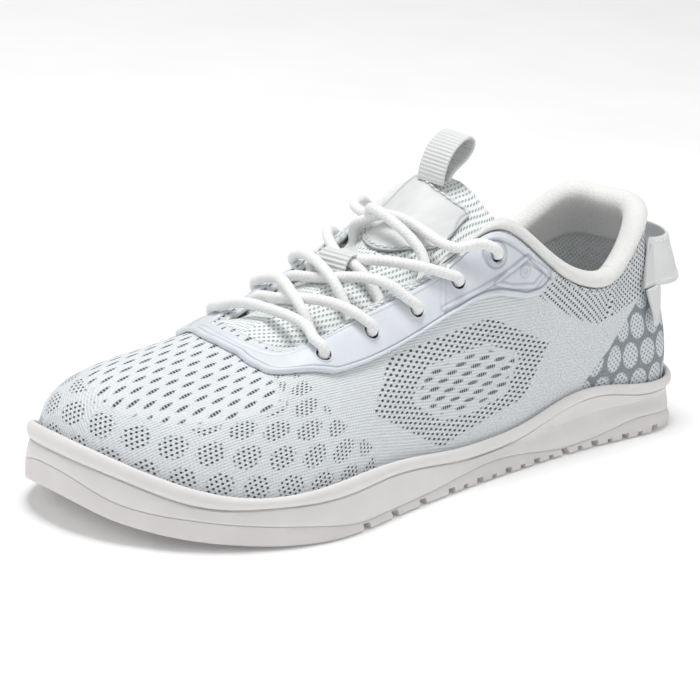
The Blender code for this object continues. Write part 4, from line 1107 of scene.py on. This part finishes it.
def seamOnUpper(first, last, up):
    # a line for stitches, level with one share of the ribs, as (points, normals)
    around = np.linspace(first, last, 500)
    ups = np.full(around.shape, up)
    return [(upperAt(around, ups, 0.0003), upperNormal(around, ups))]


# Collar roll with its lining
collar = {
    "end": 8.6,
    "columns": 260,
    "height": 0.0078,
    "width": 0.0096,
    "lining": 0.0016,
}


def buildCollar():
    first, last = placeOfRib(collar["end"]), placeOfRib(-collar["end"]) - 1
    around = np.linspace(last, first, collar["columns"])
    size = np.interp(
        np.abs(around), placeOfRib(np.array([0.0, 3.0, 7.0, collar["end"]])), (1.0, 0.85, 0.60, 0.42)
    )
    rim = upperPoint(around, 1.0)
    normal = upperNormal(around, 1.0)
    climb = unit(rim - upperPoint(around, 0.97))
    inner = shoe["wall"] + 1.5 * shoe["gap"]
    wide, high = collar["width"], collar["height"]

    def atRim(out, rise):
        return rim + normal * (out * size)[:, None] + climb * (rise * size + 0.0004)[:, None]

    down = np.interp(np.abs(around), placeOfRib(np.array([0.0, 6.0, 7.5])), (1.0, 1.0, 0.3))

    def lining(steps, depth):
        return upperAt(around, 1 - 0.1 * steps * down, np.full(around.shape, -depth))

    loops = [
        rim - normal * 0.0002 + climb * 0.0004,
        atRim(0.16 * wide, 0.10 * high),
        atRim(0.24 * wide, 0.45 * high),
        atRim(0.10 * wide, 0.84 * high),
        atRim(-0.30 * wide, 1.04 * high),
        atRim(-0.74 * wide, 0.84 * high),
        atRim(-1.00 * wide, 0.25 * high),
        lining(0.7, inner + 1.6 * collar["lining"]),
        lining(1.5, inner + collar["lining"]),
        lining(2, inner + 0.8 * collar["lining"]),
        lining(2.05, inner),
        lining(1, inner),
        rim - normal * inner + climb * 0.0004,
    ]
    sections = np.stack(loops, axis=1)
    roll = loopPiece("paddedCollar", sections, plush)
    rounder = roll.modifiers.new("rounder", "SUBSURF")
    rounder.levels = rounder.render_levels = 2
    placePiece(roll, ["collar"])
    return seamOnUpper(last, first, 0.972)


collarSeam = buildCollar()
print("collar padded")

# Tongue with its patch, keeper and loop
tongueSizes = {
    "thick": 0.0045,
    "patchThick": 0.0009,
    "patchSeam": 0.0016,
    "patchFront": (
        (-0.90, 0.690), (-0.60, 0.655), (-0.26, 0.618), (-0.03, 0.608), (0.21, 0.633), (0.43, 0.695),
        (0.60, 0.750), (0.66, 0.790),
    ),
    "patchBack": (
        (-0.90, 0.868), (-0.50, 0.845), (-0.04, 0.835), (0.25, 0.843), (0.44, 0.858), (0.60, 0.866),
        (0.66, 0.855),
    ),
    "tapeThick": 0.0013,
    "keeperWidth": 0.0155,
    "keeperAcross": -0.12,
    "keeperRises": (
        (0.0, 0.0), (0.12, 0.0024), (0.26, 0.0044), (0.42, 0.0052), (0.58, 0.0042), (0.78, 0.0014),
        (1.0, 0.0002),
    ),
    "keeperFront": 0.578,
    "keeperBack": 0.528,
    "loopWidth": 0.0135,
    "loopFoot": 0.408,
    "loopAcross": -0.22,
    "loopPath": (
        (0.0, 0.0), (0.0002, 0.0036), (0.0014, 0.0084), (0.0034, 0.0126), (0.0066, 0.0160),
        (0.0100, 0.0180), (0.0128, 0.0180), (0.0143, 0.0160), (0.0136, 0.0128), (0.0098, 0.0084),
        (0.0046, 0.0042), (0.0028, 0.0010),
    ),
}


def buildTongue():
    share = np.linspace(0, 1, 130)
    turns = np.linspace(0, 2 * math.pi, 72, endpoint=False)
    thick = tongueSizes["thick"]
    across, level = squared(np.cos(turns), 0.45), squared(np.sin(turns), 0.75)
    taper = np.maximum(edgeRound(1 - share, 0.035), 0.12)
    off = thick / 2 * (level[None, :] * taper[:, None] - 1)
    wide = across[None, :] * (0.9 + 0.1 * taper[:, None])
    points = tongueAt(np.broadcast_to(share[:, None], off.shape), wide, off)
    body = loopPiece("paddedTongue", points, tongueMesh)
    placePiece(body, ["tongue"])


def buildPatch():
    across = np.linspace(-0.90, 0.66, 90)
    front, back = (spline(*np.array(tongueSizes[name]).T, across) for name in ("patchFront", "patchBack"))
    rows = np.linspace(0, 1, 60)[:, None]
    share = front + (back - front) * rows
    acrossGrid = np.broadcast_to(across, share.shape)
    flat = tonguePoint(share, acrossGrid)
    climb, along = arcLengths(flat, 0) / 1000, arcLengths(flat, 1) / 1000
    edge = np.minimum(np.minimum(climb, climb[-1] - climb), np.minimum(along, along[:, -1:] - along))
    sewn = tongueSizes["patchSeam"]
    dip = hump(edge, sewn, 0.0005)
    rise = 0.0004 + tongueSizes["patchThick"] * edgeRound(edge, 0.0007) - 0.0003 * dip
    # painted shade in the stitched dip and along the cut edge
    shadedCrease = np.maximum(0.6 * dip, np.clip(1 - edge / 0.0004, 0, 1))
    patch = gridPiece("stitchedPatch", tongueAt(share, acrossGrid, rise), coated, marks={"shadedCrease": shadedCrease})
    addWall(patch, 0.0006)
    placePiece(patch, ["tongue_patch"])
    lines = []
    span = np.linalg.norm(tonguePoint(back, across) - tonguePoint(front, across), axis=-1)
    for inFrom, sign in ((front, 1), (back, -1)):
        shift = sign * np.minimum(sewn / np.maximum(span, 1e-6), 0.4) * (back - front)
        line = tongueAt(inFrom + shift, across, 0.0014)
        normals = unit(tongueAt(inFrom + shift, across, 0.002) - line)
        lines.append((line[2:-2], normals[2:-2]))
    return lines


def tapeLoops(path, normals, sideAxis, width, ribPitch, ribDepth):
    # a flat tape with round edges; its ribs run across it
    thick = tongueSizes["tapeThick"]
    turns = np.linspace(0, 2 * math.pi, 28, endpoint=False)
    x, y = squared(np.cos(turns), 0.25) * width / 2, squared(np.sin(turns), 0.6)
    ribbed = ribDepth * np.cos(2 * math.pi * runAlong(path) / ribPitch)
    loops = [
        point + sideAxis * x[:, None] + normal * (y * (thick / 2 + extra))[:, None]
        for point, normal, extra in zip(path, normals, ribbed)
    ]
    return np.array(loops)


def buildKeeper():
    along = np.linspace(tongueSizes["keeperFront"], tongueSizes["keeperBack"], 120)
    hill = spline(*np.array(tongueSizes["keeperRises"]).T, np.linspace(0, 1, 120))
    thick = tongueSizes["tapeThick"]
    path = tongueAt(tongueShare(along), tongueSizes["keeperAcross"], thick / 2 + 0.0006 + hill)
    sideAxis = unit(tonguePoint(tongueShare(0.55), 0.1) - tonguePoint(tongueShare(0.55), -0.3))
    path = resample(path[::6], 160)
    normals = unit(np.cross(sideAxis, unit(np.gradient(path, axis=0))))
    loops = tapeLoops(path, normals, sideAxis, tongueSizes["keeperWidth"], 0.0016, 0.00022)
    placePiece(loopPiece("laceKeeperTape", loops, webbing), ["lace_keeper"])


def buildLoop():
    thick = tongueSizes["tapeThick"]
    foot = tongueAt(tongueShare(tongueSizes["loopFoot"]), tongueSizes["loopAcross"], thick)
    path = resample(foot + np.array([(0, back, 0.92 * rise) for back, rise in tongueSizes["loopPath"]]), 190)
    sideAxis = np.array([1.0, 0, 0])
    normals = unit(np.cross(sideAxis, unit(np.gradient(path, axis=0))))
    loops = tapeLoops(path, normals, sideAxis, tongueSizes["loopWidth"], 0.0014, 0.0002)
    placePiece(loopPiece("tonguePullLoop", loops, webbing), ["tongue_loop"])


buildTongue()
patchSeams = buildPatch()
buildKeeper()
buildLoop()
print("tongue dressed")

# Heel pull and its tabs
pull = {
    "top": 0.0755, "bottom": 0.0585, "topRib": 2.0, "bottomRib": 2.65,
    "reach": 0.0105, "seated": 0.84, "clearance": 0.0013, "thick": 0.0013,
    "tabRibs": (2.60, 2.08, 2.50), "tabTop": 0.0575, "tabTip": 0.0435,
}


def upAtHeight(around, height):
    steps = np.linspace(0, 1, 81)
    around, height = np.broadcast_arrays(around, height)
    heights = upperPoint(around.ravel()[:, None], steps)[..., 2]
    ups = [np.interp(each, row, steps) for each, row in zip(height.ravel(), heights)]
    return np.array(ups).reshape(around.shape)


def pullEdge(rib, height, off):
    share = np.linspace(-1, 1, 121)
    around = placeOfRib(rib * share)
    bow = np.clip(1 - (share / pull["seated"]) ** 2, 0, 1) ** 0.6
    path = upperAt(around, upAtHeight(around, height), off + pull["reach"] * bow)
    path[:, 2] = height
    return path


def buildHeelPull():
    inner, outer = pull["clearance"], pull["clearance"] + pull["thick"]
    turns = np.linspace(0, 2 * math.pi, 44, endpoint=False)
    rise, wide = 0.5 + 0.5 * squared(np.sin(turns), 0.3), 0.5 * squared(np.cos(turns), 0.5)
    wide = 0.5 + wide * (1 + 0.45 * (np.abs(rise - 0.5) > 0.41))  # its edges are bound
    edges = []
    for end in ("bottom", "top"):
        near, far = (pullEdge(pull[end + "Rib"], pull[end], off)[:, None] for off in (inner, outer))
        edges.append(near + (far - near) * wide[:, None])
    low, high = edges
    loops = low + (high - low) * rise[:, None]
    placePiece(loopPiece("heelPullBand", loops, webbing), ["heel_pull"])
    seams = []
    for height, rib in ((pull["bottom"] + 0.0016, 2.59), (pull["top"] - 0.0016, 2.06)):
        line = pullEdge(rib, height, outer + 0.0001)
        seams.append((line, unit(pullEdge(rib, height, outer + 0.001) - line)))
    return seams


def buildTabs():
    seams = []
    for sign, name in ((1, "lateral"), (-1, "medial")):
        front, rear, tip = (sign * number for number in pull["tabRibs"])
        rows = np.linspace(0, 1, 40)[:, None]
        across = np.linspace(0, 1, 24)[None, :]
        number = (front + (rear - front) * across) * (1 - rows) + (tip - 0.05 * sign * across) * rows
        around = placeOfRib(number)
        up = upAtHeight(around, pull["tabTop"] + (pull["tabTip"] - pull["tabTop"]) * rows)
        edge = np.minimum(np.minimum(across, 1 - across) * 2, np.minimum(rows, 1 - rows) * 6)
        rise = pull["clearance"] + pull["thick"] * (0.75 + 0.25 * np.clip(edge / 0.25, 0, 1))
        points = upperAt(around, up, rise)
        tab = gridPiece("pullTab_" + name, points, webbing, flip=sign < 0)
        addWall(tab, 0.001)
        placePiece(tab, ["pull_tab_" + name])
        for column in (3, 20):
            line = points[2:36, column]
            seams.append((line, unit(upperAt(around, up, rise + 0.001)[2:36, column] - line)))
    return seams


pullSeams = buildHeelPull() + buildTabs()
print("heel pull sewn on")

# Laces
lace = {
    "diameter": 0.0039,
    "overlaps": (0.0, 0.9, 0.9, 0.35, 0.9),  # of a diameter, at each crossing
    "landing": 0.032,
    "tuck": 0.10,
    "ringRise": 0.0020,
    "holeShift": 0.0008,
    "aside": 0.7,         # how far across the tongue a run leaves it
    "tautAside": 0.85,    # and where a top run is drawn tight
    "tautLift": 0.0022,
}


def edgePlace(sign, along):
    steps = np.linspace(7, lastRib, 321)
    rims = spline(ribKnots, ribRim, placeOfRib(sign * steps), closed=True)
    return float(placeOfRib(sign * np.interp(along, alongOf(rims[:, 1]), steps)))


def laceStart(sign, row):
    around, up = holePlace(sign, row)
    hole, normal = upperPoint(around, up), upperNormal(around, up)
    edge = edgePlace(sign, holes[ofSide(sign, "Edge")][row])
    clear = 0.001 + 3 * shoe["gap"] + lace["diameter"] / 2
    ringRise = lace["ringRise"] if row == len(holeRows) - 1 else 0.0
    steps = np.array([0.02, 0.19, 0.45, 0.75, 1.0])
    rises = clear * np.array([0.65, 1.06, 1.06, 1.05, 1.0]) + ringRise * np.array([0.6, 1.0, 1.3, 1.2, 1.0])
    over = upperAt(around + (edge - around) * steps, up + (1 - up) * steps, rises)
    inHole = hole + unit(over[1] - hole) * lace["holeShift"]  # the lace lies against the hole's upper edge
    return [inHole - normal * 0.5 * shoe["wall"], *over]


def laceRoute(sign, row, more):
    radius = lace["diameter"] / 2
    lift = radius + holes["lift"][row]
    landing = holes[ofSide(-sign, "Landing")][row]
    cross, across = holes["cross"][row], holes["crossAcross"][row]
    aside = -sign * lace["aside"]
    taut = []
    if row == len(holeRows) - 1:  # the top runs are drawn tight over the tongue
        edge = holes[ofSide(sign, "Edge")][row]
        reach = 0.5 * (across + sign * lace["tautAside"])
        taut = [tongueAt(tongueShare((cross + edge) / 2), reach, radius + lace["tautLift"] + 0.5 * more)]
    over = [
        (cross, across, lift + more),
        (0.72 * cross + 0.28 * landing, 0.52 * across + 0.48 * aside, lift + 0.55 * more + 0.0004),
        (0.45 * cross + 0.55 * landing, aside, lift + 0.0006),
    ]
    edge = edgePlace(-sign, landing)
    return [
        *laceStart(sign, row), *taut,
        *(tongueAt(tongueShare(along), wide, off) for along, wide, off in over),
        upperAt(edge, 1 - lace["landing"], -shoe["wall"] - 4 * shoe["gap"] - radius),
        upperAt(edge, 1 - lace["tuck"], -shoe["wall"] - 6 * shoe["gap"] - radius),
    ]


def buildLaces():
    middle = tongueAt(tongueShare(holes["cross"][0]), 0.0, holes["lift"][0] + lace["diameter"] / 2)
    routes = [("laceBar", laceStart(1, 0) + [middle] + laceStart(-1, 0)[::-1], "lace_bar")]
    for row in range(1, len(holeRows)):
        routes.append((f"laceUnder_{row}", laceRoute(1, row, 0.0), f"lace_crossing_{row}"))
        routes.append((f"laceOver_{row}", laceRoute(-1, row, lace["overlaps"][row] * lace["diameter"]), None))
    for name, controls, node in routes:
        path = resample(controls, 120)
        piece = loopPiece(name, tubeLoops(path, lace["diameter"] / 2), braid)
        placePiece(piece, [node] if node else ())


buildLaces()
print("laced")

# The throat is stitched along the strip of knit between the film and its edge
throatSeam = seamOnUpper(placeOfRib(8.7), placeOfRib(-8.7), 0.976)
placePiece(stitchRow("collarStitches", collarSeam, thread))
placePiece(stitchRow("throatStitches", throatSeam, thread))
placePiece(stitchRow("patchStitches", patchSeams, thread))
placePiece(stitchRow("pullStitches", pullSeams, thread, length=0.0015))
print("stitched")

# Studio: a white floor, a bright room and soft lamps
studio = {
    "floorSize": 6.0,
    "floorColour": "#F7F7F7",
    "roomStrength": 0.42,
    "floorGlow": 0.06,
    "lamps": (  # name, place, size, watts
        ("overhead", (-0.1, -0.15, 1.9), 0.8, 22.5),
        ("frontLeft", (-0.9, -1.6, 1.1), 1.5, 7),
        ("right", (1.35, 0.4, 1.3), 1.2, 4.5),
    ),
    "lampsAim": (0.0, 0.0, 0.04),
    "azimuth": 46.0, "elevation": 17.5, "distance": 1.0953, "roll": 5.0,
    "focalPixels": 3006.6, "pixels": 700, "sensor": 36,
    "aim": (0.0, 0.0, 0.045), "aside": -0.011, "upwards": -0.0022,
}


def buildRoom(scene):
    white = (1.0, 1.0, 1.0, 1.0)
    bm = bmesh.new()
    bmesh.ops.create_grid(bm, x_segments=1, y_segments=1, size=studio["floorSize"] / 2)
    paper, tree, shader = newMaterial("studioPaper", studio["floorColour"], 0.9)
    tone = speckle(tree, millimetres(tree), 60.0)
    finishMaterial(tree, shader, "#F5F5F5", [(tone, "#F8F8F8")])
    shader.inputs["Emission Color"].default_value = white
    shader.inputs["Emission Strength"].default_value = studio["floorGlow"]
    floor = finishPiece("studioFloor", bm, paper)
    scene.world = bpy.data.worlds.new("brightRoom")
    scene.world.use_nodes = True
    sky = scene.world.node_tree.nodes["Background"]
    sky.inputs["Color"].default_value = white
    sky.inputs["Strength"].default_value = studio["roomStrength"]


def hangLamps(scene):
    for name, place, size, watts in studio["lamps"]:
        lamp = bpy.data.lights.new(name, "AREA")
        lamp.shape = "DISK"
        lamp.size = size
        lamp.energy = watts
        holder = bpy.data.objects.new(name, lamp)
        holder.location = place
        holder.rotation_mode = "QUATERNION"
        holder.rotation_quaternion = (Vector(studio["lampsAim"]) - Vector(place)).to_track_quat("-Z", "Y")
        scene.collection.objects.link(holder)


def placeCamera(scene):
    azimuth, elevation, roll = (math.radians(studio[name]) for name in ("azimuth", "elevation", "roll"))
    level = math.cos(elevation)
    back = Vector((math.sin(azimuth) * level, -math.cos(azimuth) * level, math.sin(elevation)))
    right = (-back).cross(Vector((0, 0, 1))).normalized()
    upward = right.cross(-back)
    turnedRight = math.cos(roll) * right + math.sin(roll) * upward
    turnedUp = -math.sin(roll) * right + math.cos(roll) * upward
    target = Vector(studio["aim"]) - Vector(shoe["middle"])
    place = target + turnedRight * studio["aside"] + turnedUp * studio["upwards"] + back * studio["distance"]
    camera = bpy.data.objects.new("camera", bpy.data.cameras.new("camera"))
    camera.data.sensor_width = studio["sensor"]
    camera.data.lens = studio["focalPixels"] / studio["pixels"] * studio["sensor"]
    camera.data.clip_start, camera.data.clip_end = 0.01, 50
    turn = Matrix((turnedRight, turnedUp, back)).transposed().to_4x4()
    camera.matrix_world = Matrix.Translation(place) @ turn
    scene.collection.objects.link(camera)
    scene.camera = camera
    scene.view_settings.view_transform = "Standard"


buildRoom(bpy.context.scene)
hangLamps(bpy.context.scene)
placeCamera(bpy.context.scene)
